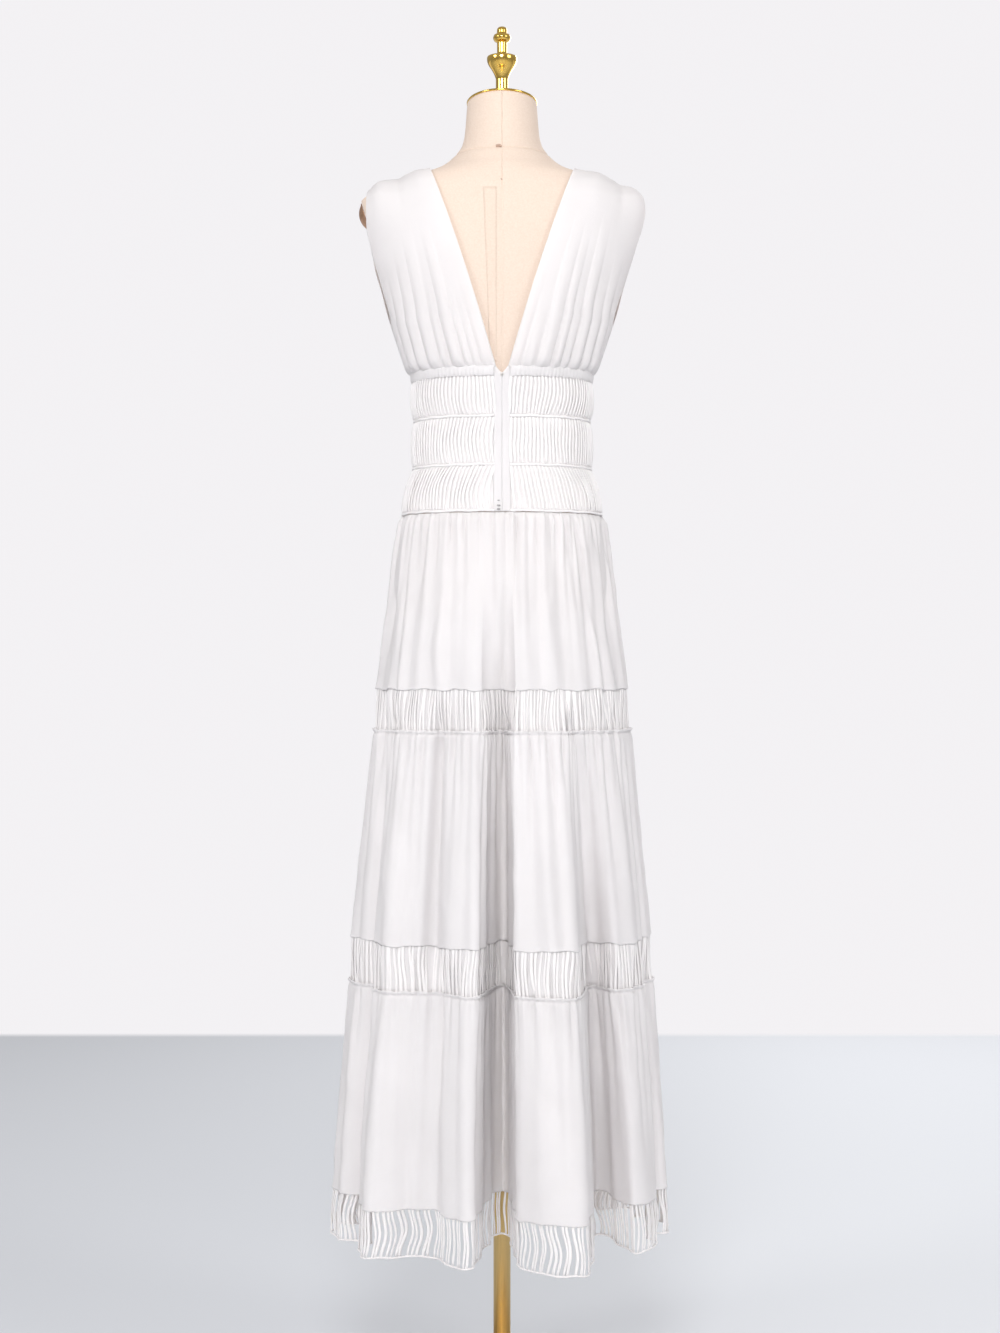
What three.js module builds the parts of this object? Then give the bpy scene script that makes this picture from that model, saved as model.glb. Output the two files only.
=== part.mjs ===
// A sleeveless white maxi dress with a V back, a ribbed openwork waist and three gathered tiers
// with openwork between them, on a limbless dress form with a pole and a round base.
// Millimetres, +Z up, the floor at z 0 under the pole. The front faces -Y, the wearer's left is +X.
// A turn is an angle round the body: 0 is the centre back, 90 the wearer's left, 180 the front.
import * as THREE from "three";

// Cloth
const CLOTH = 1.2;
const SEAM = 0.3;

// Heights of the dress
const WAIST_TOP = 1378;
const CASING_FOOT = 1364.3;
const CORD_HEIGHTS = [1314, 1250, 1189];
const TIER_1_TOP = 1186.8;
const TIER_1_FOOT = 955;
const TIER_2_TOP = 897;
const TIER_2_FOOT = 624;
const TIER_3_TOP = 561;
const TIER_3_FOOT = 287;
const HEM = 225;

// Bodice
const NECK_SHOULDER_X = 98;
const BACK_V_X = 8;
const FRONT_V_FOOT = 1428;
const NECKLINE_BOW = 3;
const SHOULDER_REACH = { left: 179, right: 185 };
const SHOULDER_RIDGE = { low: 1600, high: 1658 };
const ARMHOLE_FOOT = 1461;
const ARMHOLE_RISE = 140;
const FRONT_ARMHOLE_SWEEP = { foot: 1432, depth: 30, run: 45, arch: 1560 };
const RIGHT_EDGE = { out: 4.6, z: 1592, run: 24 };
const BODICE_GATHERS = 7;
const BODICE_GATHER_DEPTH = 5;
const BODICE_GATHER_FADE = 1.4;
const BODICE_GATHER_AT_SEAM = 0.55;
const BODICE_ROWS = 10;
const BODICE_ROW_CROWDING = 1.7;

// Waist
const LINING_LIFT = 0.9;
const ON_LINING = LINING_LIFT + CLOTH + SEAM;
const RIBS = 96;
const RIB_HEIGHT = 1.3;
const RIB_INSET = 0.22;
const BAND_PUFF = 2.2;
const CASING_THICK = 2;
const CORD_RADIUS = 1.7;
const CORD_END_TURN = 12;
const ZIP_HALF_WIDTH = 10;
const ZIP_LIP = [
  { x: SEAM / 2, thick: 1.7 },
  { x: 4.5, thick: 2.4 },
  { x: ZIP_HALF_WIDTH, thick: 2 },
];
const WAIST_ROWS = [1188, 1220, 1250, 1282, 1314, 1345, 1362, WAIST_TOP - 1];

// Form and stand
const FORM_SIDES = 26;
const NECK_LEAN_FOOT = 1687;
const NECK_TOP = 1745;
const NECK_TILT = 0.17;
const POLE_RADIUS = 11.5;
const POLE_SIDES = 24;
const BASE_RADIUS = 175;
const BASE_HEIGHT = 16;
const BASE_SIDES = 40;

// The slanted plane that each shoulder is cut off along, and the plate on it: a cap of a ball whose
// middle lies sunk under the plane.
const ARM_CUT = { x: 173.2, z: 1556, slope: 0.295, from: 1440 };
const ARM_PLATE = { z: 1591.4, radius: 25, sunk: 16.6, sides: 24, rings: 4 };

// Sections of the form: half its width, its depth to the front and to the back of the pole's axis,
// how square the section is, and how far its middle lies from the axis.
const FORM_SECTIONS = [
  { z: 1050, half: 142, front: 103, back: 102, square: 2.2, shift: 0 },
  { z: 1090, half: 145, front: 106, back: 107, square: 2.2, shift: 0 },
  { z: 1140, half: 139, front: 103, back: 104, square: 2.2, shift: 0 },
  { z: 1187, half: 131, front: 97, back: 97, square: 2.2, shift: 0 },
  { z: 1220, half: 123, front: 92.5, back: 91.5, square: 2.2, shift: 0 },
  { z: 1250, half: 116.5, front: 89, back: 87, square: 2.2, shift: 0 },
  { z: 1282, half: 114.5, front: 87.5, back: 85.5, square: 2.2, shift: 0 },
  { z: 1314, half: 115, front: 89, back: 87, square: 2.2, shift: 0 },
  { z: 1345, half: 115.7, front: 92.6, back: 89.4, square: 2.2, shift: 0 },
  { z: 1362, half: 116.3, front: 95, back: 90.8, square: 2.2, shift: 0 },
  { z: 1378, half: 117.2, front: 98, back: 92.2, square: 2.2, shift: 0 },
  { z: 1404, half: 124, front: 108, back: 95, square: 2.2, shift: 0 },
  { z: 1434, half: 135, front: 118, back: 98, square: 2.2, shift: 0 },
  { z: 1470, half: 146, front: 118, back: 101, square: 2.2, shift: 0 },
  { z: 1500, half: 158, front: 112, back: 102, square: 2.2, shift: 0 },
  { z: 1560, half: 184, front: 94, back: 99, square: 2.1, shift: 0 },
  { z: 1597, half: 196, front: 81, back: 92.5, square: 2.0, shift: 0 },
  { z: 1608, half: 193, front: 77, back: 90, square: 1.95, shift: 0 },
  { z: 1618, half: 184, front: 74, back: 88, square: 1.9, shift: 0 },
  { z: 1626, half: 172, front: 70, back: 86, square: 1.85, shift: 0 },
  { z: 1635, half: 152, front: 66, back: 83, square: 1.8, shift: 0 },
  { z: 1642, half: 132, front: 62, back: 80, square: 1.8, shift: 0 },
  { z: 1647.5, half: 111, front: 58, back: 77, square: 1.8, shift: 0 },
  { z: 1651, half: 99, front: 56, back: 75, square: 1.8, shift: 0 },
  { z: 1656, half: 86, front: 54, back: 71, square: 1.8, shift: 0 },
  { z: 1665, half: 72, front: 51, back: 65, square: 1.85, shift: 0 },
  { z: 1676, half: 61, front: 48, back: 59, square: 1.95, shift: -1 },
  { z: 1687, half: 54, front: 47, back: 55, square: 2.0, shift: -2 },
  { z: 1702, half: 50.5, front: 46, back: 51, square: 2.0, shift: -4 },
  { z: 1745, half: 47, front: 46, back: 47, square: 2.0, shift: -8 },
];

// Sections of the cloth of the bodice, which stands off the form between the shoulder and waist.
const BODICE_SECTIONS = [
  { z: 1378, half: 121.5, front: 103, back: 97, square: 2.2, shift: 0 },
  { z: 1400, half: 131, front: 111, back: 100, square: 2.2, shift: 0 },
  { z: 1434, half: 145, front: 124, back: 103.5, square: 2.2, shift: 0 },
  { z: 1461, half: 155, front: 125, back: 106, square: 2.2, shift: 0 },
  { z: 1500, half: 167, front: 119, back: 107.5, square: 2.2, shift: 0 },
  { z: 1560, half: 189, front: 100, back: 104, square: 2.1, shift: 0 },
  { z: 1598, half: 200, front: 86, back: 97, square: 2.0, shift: 0 },
  { z: 1610, half: 196.5, front: 81, back: 94, square: 1.95, shift: 0 },
  { z: 1619, half: 187, front: 77.5, back: 91.5, square: 1.9, shift: 0 },
  { z: 1627, half: 175, front: 73.5, back: 89.5, square: 1.85, shift: 0 },
  { z: 1636, half: 155, front: 69.5, back: 86.5, square: 1.8, shift: 0 },
  { z: 1643, half: 135, front: 65.5, back: 83.5, square: 1.8, shift: 0 },
  { z: 1648.5, half: 114, front: 61.5, back: 80.5, square: 1.8, shift: 0 },
  { z: 1652, half: 102, front: 59.5, back: 78.5, square: 1.8, shift: 0 },
  { z: 1657, half: 89, front: 57.5, back: 74.5, square: 1.8, shift: 0 },
];

// How far out the panels reach at a height: the side seam below the armhole, then its edge.
const BACK_ARMHOLE = [
  { z: 1378, x: 124 },
  { z: 1400, x: 133 },
  { z: 1430, x: 146 },
  { z: 1446, x: 148 },
  { z: 1461, x: 151.5 },
  { z: 1501, x: 163 },
  { z: 1543, x: 174.5 },
  { z: 1573, x: 179.8 },
  { z: 1605, x: 180 },
  { z: 1624, x: 179 },
];
const FRONT_ARMHOLE = [
  { z: 1378, x: 124 },
  { z: 1400, x: 133 },
  { z: 1430, x: 146 },
  { z: 1461, x: 156 },
  { z: 1501, x: 167 },
  { z: 1543, x: 175.5 },
  { z: 1576, x: 180 },
  { z: 1605, x: 181 },
  { z: 1624, x: 179 },
];

// Sections of the skirt as it would hang without folds.
const SKIRT_SECTIONS = [
  { z: 225, half: 226, front: 203, back: 205, square: 2, shift: 0 },
  { z: 420, half: 214, front: 191, back: 193, square: 2, shift: 0 },
  { z: 561, half: 203, front: 180, back: 181, square: 2, shift: 0 },
  { z: 624, half: 199, front: 175, back: 176, square: 2, shift: 0 },
  { z: 800, half: 182, front: 158, back: 160, square: 2, shift: 0 },
  { z: 897, half: 173, front: 149, back: 151, square: 2, shift: 0 },
  { z: 955, half: 168, front: 144, back: 146, square: 2, shift: 0 },
  { z: 1075, half: 153, front: 125, back: 127, square: 2, shift: 0 },
  { z: 1130, half: 146.5, front: 114.5, back: 115.5, square: 2.05, shift: 0 },
  { z: 1187, half: 138, front: 104, back: 104, square: 2.2, shift: 0 },
];

// The large folds: where each lies, the turn it pushes towards, its width to either side in
// degrees, how far it pushes the cloth out (or in, below zero) at the hem, the height it starts
// from, and how flat its floor is.
const FOLDS = [
  { turn: -0.5, aim: 0, left: 9.5, right: 4.8, push: -182, from: 1090, flat: 0.5 },
  { turn: 12, aim: 8, left: 5, right: 4, push: 8, from: 900, flat: 1 },
  { turn: 27.5, aim: 14, left: 11, right: 11, push: -38, from: 1010, flat: 0.6 },
  { turn: 36.5, aim: 26, left: 4, right: 4, push: -14, from: 960, flat: 0.9 },
  { turn: 48, aim: 40, left: 9, right: 8, push: 18, from: 1010, flat: 0.8 },
  { turn: 64, aim: 60, left: 9, right: 8, push: -32, from: 1040, flat: 0.8 },
  { turn: 83, aim: 83, left: 8, right: 8, push: 6, from: 900, flat: 1 },
  { turn: 104, aim: 104, left: 8, right: 8, push: -34, from: 980, flat: 0.8 },
  { turn: 124, aim: 124, left: 9, right: 9, push: 16, from: 960, flat: 1 },
  { turn: 142, aim: 150, left: 7, right: 8, push: -62, from: 1000, flat: 0.7 },
  { turn: 160, aim: 164, left: 7, right: 7, push: -26, from: 900, flat: 0.9 },
  { turn: 176, aim: 177, left: 9, right: 8, push: 18, from: 1000, flat: 1 },
  { turn: 192, aim: 190, left: 7, right: 7, push: -70, from: 1020, flat: 0.7 },
  { turn: 209, aim: 206, left: 7, right: 7, push: 10, from: 900, flat: 1 },
  { turn: 226, aim: 220, left: 8, right: 8, push: -44, from: 960, flat: 0.8 },
  { turn: 247, aim: 244, left: 8, right: 8, push: -24, from: 900, flat: 0.9 },
  { turn: 284, aim: 286, left: 9, right: 9, push: -26, from: 960, flat: 0.8 },
  { turn: 326, aim: 360, left: 5, right: 17, push: -142, from: 905, flat: 1.1 },
  { turn: 335, aim: 354, left: 20, right: 6.5, push: 56, from: 940, flat: 0.6 },
];
const FOLD_GROWTH = 0.92;
const DEEP_FOLD = 40;
const DEEP_STATIONS = [-1, -0.62, -0.3, 0, 0.3, 0.62, 1];
const SHALLOW_STATIONS = [-0.6, 0, 0.6];

// The gathers along the top of each tier: how many, how deep, and how far down they run.
const TIER_1_GATHERS = { count: 34, depth: 4, reach: 85, top: TIER_1_TOP };
const TIER_2_GATHERS = { count: 28, depth: 6, reach: 70, top: TIER_2_TOP };
const TIER_3_GATHERS = { count: 32, depth: 6, reach: 70, top: TIER_3_TOP };
const GROOVE_WANDER = 0.22;
const GROOVE_EVENNESS = 0.75;

// How far apart the columns of the skirt's walls stay, in degrees, and their corners' longest mitre.
const COLUMN_ROOM = { fold: 1.1, gather: 2.2, fill: 4.2 };
const FILL_STEP = 2;
const MITRE_LIMIT = 0.45;
const SEAM_RADIUS = 160;

// Where the rows of the skirt's walls lie, as shares of the way from the top to the foot.
const TIER_1_ROWS = [0, 0.1, 0.3, 0.6, 1];
const TIER_ROWS = [0, 0.12, 0.45, 1];
const STRIP_ROWS = [0, 1];

// The turned knob over the neck: radius at a height over the cap.
const FINIAL_PROFILE = [
  { z: 0, radius: 0 },
  { z: 0, radius: 13 },
  { z: 4, radius: 11 },
  { z: 14, radius: 8.3 },
  { z: 26, radius: 8.3 },
  { z: 38, radius: 13 },
  { z: 48, radius: 19 },
  { z: 52, radius: 20.2 },
  { z: 57, radius: 20.2 },
  { z: 60, radius: 8 },
  { z: 63, radius: 6.7 },
  { z: 76, radius: 6.7 },
  { z: 79, radius: 10.5 },
  { z: 83, radius: 12 },
  { z: 87, radius: 10.5 },
  { z: 89, radius: 7 },
  { z: 95, radius: 6.5 },
  { z: 98, radius: 3.5 },
  { z: 98.6, radius: 0 },
];
const FINIAL_SIDES = 16;
const CAP_SEAT = 1752.6;

// The rings of the neck's cap: height over the neck, share of the neck's size, share of its tilt.
const NECK_CAP_RINGS = [
  { lift: SEAM, shrink: 1, tilt: 1 },
  { lift: 2.3, shrink: 1.015, tilt: 1 },
  { lift: 4.5, shrink: 0.93, tilt: 0.9 },
  { lift: 6.6, shrink: 0.6, tilt: 0.5 },
  { lift: CAP_SEAT - NECK_TOP, shrink: 0.34, tilt: 0 },
];

// The base, below the edge of what was seen: a plain disc with a low boss for the pole.
const BASE_PROFILE = [
  { z: 0, radius: 0 },
  { z: 0, radius: BASE_RADIUS - 2 },
  { z: 2, radius: BASE_RADIUS },
  { z: 8, radius: BASE_RADIUS },
  { z: 11, radius: BASE_RADIUS - 6 },
  { z: 14, radius: 60 },
  { z: BASE_HEIGHT, radius: 22 },
  { z: BASE_HEIGHT, radius: 0 },
];

// Materials
const WHITE = { color: 0xf4f2f1, roughness: 0.85, metalness: 0 };
const LACE = { color: 0xecebea, roughness: 0.85, metalness: 0 };
const LINEN = { color: 0xefdac6, roughness: 0.9, metalness: 0 };
const BRASS = { color: 0xc9a15a, roughness: 0.3, metalness: 1 };
const COPPER = { color: 0xb98a6c, roughness: 0.45, metalness: 0.6 };

const part = new THREE.Group();
part.name = "maxi_dress_on_form";

function rad(degrees) {
  return (degrees * Math.PI) / 180;
}

function mix(a, b, t) {
  return a + (b - a) * t;
}

function clamp(value, low, high) {
  return Math.min(Math.max(value, low), high);
}

// A column of a table at a height, on a smooth curve through its rows.
function valueAt(table, column, z) {
  const last = table.length - 1;
  if (z <= table[0].z) return table[0][column];
  if (z >= table[last].z) return table[last][column];
  const i = table.findIndex((row) => row.z > z) - 1;
  const below = table[i];
  const above = table[i + 1];
  const step = above.z - below.z;
  const slope = (k) => {
    const a = table[clamp(k, 0, last - 1)];
    const b = table[clamp(k, 0, last - 1) + 1];
    return (b[column] - a[column]) / (b.z - a.z);
  };
  const rise = (k) => {
    const under = slope(k - 1);
    const over = slope(k);
    return under * over > 0 ? (step * 2 * under * over) / (under + over) : 0;
  };
  const t = (z - below.z) / step;
  const near = (1 + 2 * t) * (1 - t) ** 2 * below[column] + t * (1 - t) ** 2 * rise(i);
  const far = t * t * (3 - 2 * t) * above[column] + t * t * (t - 1) * rise(i + 1);
  return near + far;
}

// The section of a table at a height, grown by a lift all round.
function sectionAt(table, z, lift = 0) {
  return {
    half: valueAt(table, "half", z) + lift,
    front: valueAt(table, "front", z) + lift,
    back: valueAt(table, "back", z) + lift,
    square: valueAt(table, "square", z),
    shift: valueAt(table, "shift", z),
  };
}

// The point of a section at a turn.
function outlineAt(section, turn) {
  const s = Math.sin(rad(turn));
  const c = Math.cos(rad(turn));
  const power = 2 / section.square;
  const depth = c > 0 ? section.back : section.front;
  const x = section.half * Math.sign(s) * Math.abs(s) ** power;
  const y = section.shift + depth * Math.sign(c) * Math.abs(c) ** power;
  return { x, y };
}

// The direction that faces out of a section at a turn.
function facingAt(section, turn) {
  const before = outlineAt(section, turn - 0.4);
  const after = outlineAt(section, turn + 0.4);
  return new THREE.Vector3(before.y - after.y, after.x - before.x, 0).normalize();
}

// The depth of a section at a width, on the back (1) or the front (-1).
function depthAt(section, x, face) {
  const depth = face > 0 ? section.back : section.front;
  const share = Math.min(Math.abs(x) / section.half, 1) ** section.square;
  return face * depth * (1 - share) ** (1 / section.square);
}

// The width of a section at a depth behind or in front of its middle.
function widthAt(section, depth, face) {
  const whole = face > 0 ? section.back : section.front;
  return section.half * (1 - (depth / whole) ** section.square) ** (1 / section.square);
}

// The turn at which the back of a section has a width.
function turnAtWidth(section, x) {
  return (Math.asin((x / section.half) ** (section.square / 2)) * 180) / Math.PI;
}

// A mesh from points and faces, turned so that it faces out.
function solidOf(points, faces) {
  let volume = 0;
  for (const [a, b, c] of faces) {
    volume += points[a].dot(points[b].clone().cross(points[c]));
  }
  const geometry = new THREE.BufferGeometry();
  geometry.setFromPoints(points);
  geometry.setIndex(faces.flatMap(([a, b, c]) => (volume > 0 ? [a, b, c] : [a, c, b])));
  geometry.computeVertexNormals();
  return geometry;
}

function addPart(name, geometry, look) {
  const mesh = new THREE.Mesh(geometry, new THREE.MeshStandardMaterial(look));
  mesh.name = name;
  part.add(mesh);
}

// A solid through closed rings of points, with a flat fan at both ends.
function ringSolid(rings) {
  const sides = rings[0].length;
  const points = rings.flat();
  const faces = [];
  for (let r = 0; r + 1 < rings.length; r += 1) {
    for (let k = 0; k < sides; k += 1) {
      const a = r * sides + k;
      const b = r * sides + ((k + 1) % sides);
      faces.push([a, b, b + sides], [a, b + sides, a + sides]);
    }
  }
  for (const [ring, turned] of [[rings[0], true], [rings[rings.length - 1], false]]) {
    const first = turned ? 0 : (rings.length - 1) * sides;
    const middle = new THREE.Vector3();
    ring.forEach((p) => middle.addScaledVector(p, 1 / sides));
    points.push(middle);
    const hub = points.length - 1;
    for (let k = 0; k < sides; k += 1) {
      const next = first + ((k + 1) % sides);
      faces.push(turned ? [next, first + k, hub] : [first + k, next, hub]);
    }
  }
  return solidOf(points, faces);
}

// A closed wall between two grids of points of the same size, one outside the other.
function wallSolid(outer, inner) {
  const rows = outer.length;
  const columns = outer[0].length;
  const points = [...outer.flat(), ...inner.flat()];
  const out = (r, c) => r * columns + c;
  const into = (r, c) => rows * columns + r * columns + c;
  const faces = [];
  const quad = (a, b, c, d) => faces.push([a, b, c], [a, c, d]);
  for (let r = 0; r + 1 < rows; r += 1) {
    for (let c = 0; c + 1 < columns; c += 1) {
      quad(out(r, c), out(r, c + 1), out(r + 1, c + 1), out(r + 1, c));
      quad(into(r, c), into(r + 1, c), into(r + 1, c + 1), into(r, c + 1));
    }
  }
  for (let c = 0; c + 1 < columns; c += 1) {
    const top = rows - 1;
    quad(into(0, c), into(0, c + 1), out(0, c + 1), out(0, c));
    quad(out(top, c), out(top, c + 1), into(top, c + 1), into(top, c));
  }
  for (let r = 0; r + 1 < rows; r += 1) {
    const end = columns - 1;
    quad(out(r, 0), out(r + 1, 0), into(r + 1, 0), into(r, 0));
    quad(into(r, end), into(r + 1, end), out(r + 1, end), out(r, end));
  }
  return solidOf(points, faces);
}

// A turned solid: a closed profile round the Z axis.
function turnedSolid(profile, sides, z) {
  const points = profile.map((row) => new THREE.Vector2(row.radius, row.z));
  const geometry = new THREE.LatheGeometry(points, sides);
  geometry.rotateX(Math.PI / 2);
  geometry.translate(0, 0, z);
  return geometry;
}

// The form

// The plane that a shoulder is cut off along, as a width at a height.
function armCut(z) {
  return ARM_CUT.x + (z - ARM_CUT.z) * ARM_CUT.slope;
}

function formRing(z, { lift, shrink, tilt } = { lift: 0, shrink: 1, tilt: 1 }) {
  const section = sectionAt(FORM_SECTIONS, z);
  const raised = clamp((z - NECK_LEAN_FOOT) / (NECK_TOP - NECK_LEAN_FOOT), 0, 1);
  const lean = NECK_TILT * tilt * raised;
  const limit = z > ARM_CUT.from ? armCut(z) : Infinity;
  const ring = [];
  for (let k = 0; k < FORM_SIDES; k += 1) {
    const p = outlineAt(section, (k * 360) / FORM_SIDES);
    const x = clamp(p.x, -limit, limit) * shrink;
    const y = section.shift + (p.y - section.shift) * shrink;
    ring.push(new THREE.Vector3(x, y, z + lift + lean * (y - section.shift)));
  }
  return ring;
}

// A domed plate on a shoulder's cut, on the left (1) or the right (-1).
function buildArmPlate(name, side) {
  const { z, radius, sunk, sides, rings } = ARM_PLATE;
  const opening = Math.acos(sunk / radius);
  const profile = [{ z: 0, radius: 0 }];
  for (let k = 0; k < rings; k += 1) {
    const angle = mix(opening, 0, k / rings);
    profile.push({ z: radius * Math.cos(angle) - sunk, radius: radius * Math.sin(angle) });
  }
  profile.push({ z: radius - sunk, radius: 0 });
  const plate = turnedSolid(profile, sides, SEAM);
  plate.rotateY(side * (Math.PI / 2 + Math.atan(ARM_CUT.slope)));
  plate.translate(side * armCut(z), 0, z);
  addPart(name, plate, COPPER);
}

function buildForm() {
  addPart("form_torso", ringSolid(FORM_SECTIONS.map((row) => formRing(row.z))), LINEN);
  const cap = NECK_CAP_RINGS.map((row) => formRing(NECK_TOP, row));
  addPart("form_neck_cap", ringSolid(cap), BRASS);
  const knob = turnedSolid(FINIAL_PROFILE, FINIAL_SIDES, CAP_SEAT + SEAM);
  knob.translate(0, valueAt(FORM_SECTIONS, "shift", NECK_TOP), 0);
  addPart("form_finial", knob, BRASS);
  buildArmPlate("form_arm_plate_left", 1);
  buildArmPlate("form_arm_plate_right", -1);
  const foot = FORM_SECTIONS[0].z - SEAM;
  const pole = new THREE.CylinderGeometry(
    POLE_RADIUS,
    POLE_RADIUS,
    foot - BASE_HEIGHT - SEAM,
    POLE_SIDES,
  );
  pole.rotateX(Math.PI / 2);
  pole.translate(0, 0, (foot + BASE_HEIGHT + SEAM) / 2);
  addPart("stand_pole", pole, BRASS);
  addPart("stand_base", turnedSolid(BASE_PROFILE, BASE_SIDES, 0), BRASS);
}

// The bodice

// The height of the shoulder ridge of the cloth at a width.
function ridgeAt(x) {
  let { low, high } = SHOULDER_RIDGE;
  for (let k = 0; k < 40; k += 1) {
    const middle = (low + high) / 2;
    if (valueAt(BODICE_SECTIONS, "half", middle) > x) low = middle;
    else high = middle;
  }
  return low;
}

// How the bodice's cloth faces at a point of it.
function bodiceFacing(x, y, z) {
  const fill = (px, py, pz) => {
    const s = sectionAt(BODICE_SECTIONS, pz);
    const depth = py > 0 ? s.back : s.front;
    return (Math.abs(px) / s.half) ** s.square + (Math.abs(py) / depth) ** s.square;
  };
  const h = 0.4;
  return new THREE.Vector3(
    fill(x + h, y, z) - fill(x - h, y, z),
    fill(x, y + h, z) - fill(x, y - h, z),
    fill(x, y, z + h) - fill(x, y, z - h),
  ).normalize();
}

// The inner edge of a panel at a height: straight up the V to the shoulder.
function necklineAt(face, z, top) {
  if (face > 0) {
    const s = (z - WAIST_TOP) / (top - WAIST_TOP);
    return mix(BACK_V_X, NECK_SHOULDER_X, s) - NECKLINE_BOW * Math.sin(Math.PI * s);
  }
  return Math.max(SEAM / 2, ((z - FRONT_V_FOOT) / (top - FRONT_V_FOOT)) * NECK_SHOULDER_X);
}

// The outer edge of a panel at a height: up the side seam, then round the armhole.
function armholeAt(face, side, z, reach) {
  const section = sectionAt(BODICE_SECTIONS, z);
  const bulge = Math.exp(-(((z - RIGHT_EDGE.z) / RIGHT_EDGE.run) ** 2));
  const fuller = side < 0 ? RIGHT_EDGE.out * bulge : 0;
  const rise = clamp((z - ARMHOLE_FOOT) / ARMHOLE_RISE, 0, 1);
  const widen = mix(1, reach / SHOULDER_REACH.left, rise);
  if (face > 0) return Math.min(valueAt(BACK_ARMHOLE, "x", z) * widen + fuller, section.half);
  const { foot, depth, run, arch } = FRONT_ARMHOLE_SWEEP;
  const closing = clamp((z - arch) / (ridgeAt(reach) - arch), 0, 1);
  const swept = depth * (1 - Math.exp(-Math.max(0, z - foot) / run)) * Math.sqrt(1 - closing ** 2);
  return Math.min(valueAt(FRONT_ARMHOLE, "x", z) * widen + fuller, widthAt(section, swept, face));
}

// A bodice panel. Its columns run from the waist seam up over the shoulder, with gathers between.
function buildBodicePanel(name, side, face) {
  const columns = BODICE_GATHERS * 2;
  const rows = BODICE_ROWS;
  const reach = side > 0 ? SHOULDER_REACH.left : SHOULDER_REACH.right;
  const foot = WAIST_TOP + SEAM;
  const neckTop = ridgeAt(NECK_SHOULDER_X);
  const armTop = ridgeAt(reach);
  const inner = [];
  const outer = [];
  for (let r = 0; r <= rows; r += 1) {
    const s = 1 - (1 - r / rows) ** BODICE_ROW_CROWDING;
    const neckX = necklineAt(face, mix(foot, neckTop, s), neckTop);
    const armX = armholeAt(face, side, mix(foot, armTop, s), reach);
    inner.push([]);
    outer.push([]);
    for (let c = 0; c <= columns; c += 1) {
      const u = c / columns;
      const ridgeX = mix(NECK_SHOULDER_X, reach, u);
      const z = mix(foot, ridgeAt(ridgeX), s);
      const section = sectionAt(BODICE_SECTIONS, z);
      const across = mix(Math.sin(rad(90 * u)), u, s);
      const wanted = r === rows ? ridgeX : mix(neckX, armX, across);
      const x = Math.min(wanted, section.half);
      const depth = Math.max(Math.abs(depthAt(section, x, face)), SEAM / 2);
      const facing = bodiceFacing(x, face * depth, z);
      if (r === 0) facing.z = 0;
      if (x < SEAM) facing.x = 0;
      if (depth <= SEAM / 2) facing.y = 0;
      if (r === rows) facing.set(0, 0, 1);
      facing.normalize();
      const fade = (1 - s) ** BODICE_GATHER_FADE * (r === 0 ? BODICE_GATHER_AT_SEAM : 1);
      const crest = c % 2 === 1 ? 1 : 0;
      const uneven = 0.7 + 0.3 * Math.sin(c * 2.1 + side + face);
      const lift = crest * BODICE_GATHER_DEPTH * fade * uneven;
      const at = new THREE.Vector3(x, face * depth, z).addScaledVector(facing, lift);
      const over = at.clone().addScaledVector(facing, CLOTH);
      inner[r].push(new THREE.Vector3(at.x * side, at.y, at.z));
      outer[r].push(new THREE.Vector3(over.x * side, over.y, over.z));
    }
  }
  addPart(name, wallSolid(outer, inner), WHITE);
}

// The waist

function waistPoint(turn, z, lift) {
  const p = outlineAt(sectionAt(FORM_SECTIONS, z, lift), turn);
  return new THREE.Vector3(p.x, p.y, z);
}

// Turns round the waist from one side of the zip to the other, at the corners of the form.
function waistTurns(halfGap, z, lift) {
  const start = turnAtWidth(sectionAt(FORM_SECTIONS, z, lift), halfGap);
  const turns = [start];
  for (let k = 1; k < FORM_SIDES; k += 1) turns.push((k * 360) / FORM_SIDES);
  turns.push(360 - start);
  return turns;
}

function buildWaistWall(name, heights, lift, thick, halfGap, look) {
  const grid = (more) =>
    heights.map((z) => waistTurns(halfGap, z, lift).map((turn) => waistPoint(turn, z, lift + more)));
  addPart(name, wallSolid(grid(thick), grid(0)), look);
}

// Joins two rows of points of different counts, both in the order of their turns.
function stitch(faces, low, high) {
  let a = 0;
  let b = 0;
  while (a + 1 < low.length || b + 1 < high.length) {
    const nextLow = a + 1 < low.length ? low[a + 1].turn : Infinity;
    const nextHigh = b + 1 < high.length ? high[b + 1].turn : Infinity;
    if (nextLow < nextHigh) {
      faces.push([low[a].index, low[a + 1].index, high[b].index]);
      a += 1;
    } else {
      faces.push([low[a].index, high[b + 1].index, high[b].index]);
      b += 1;
    }
  }
}

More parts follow.
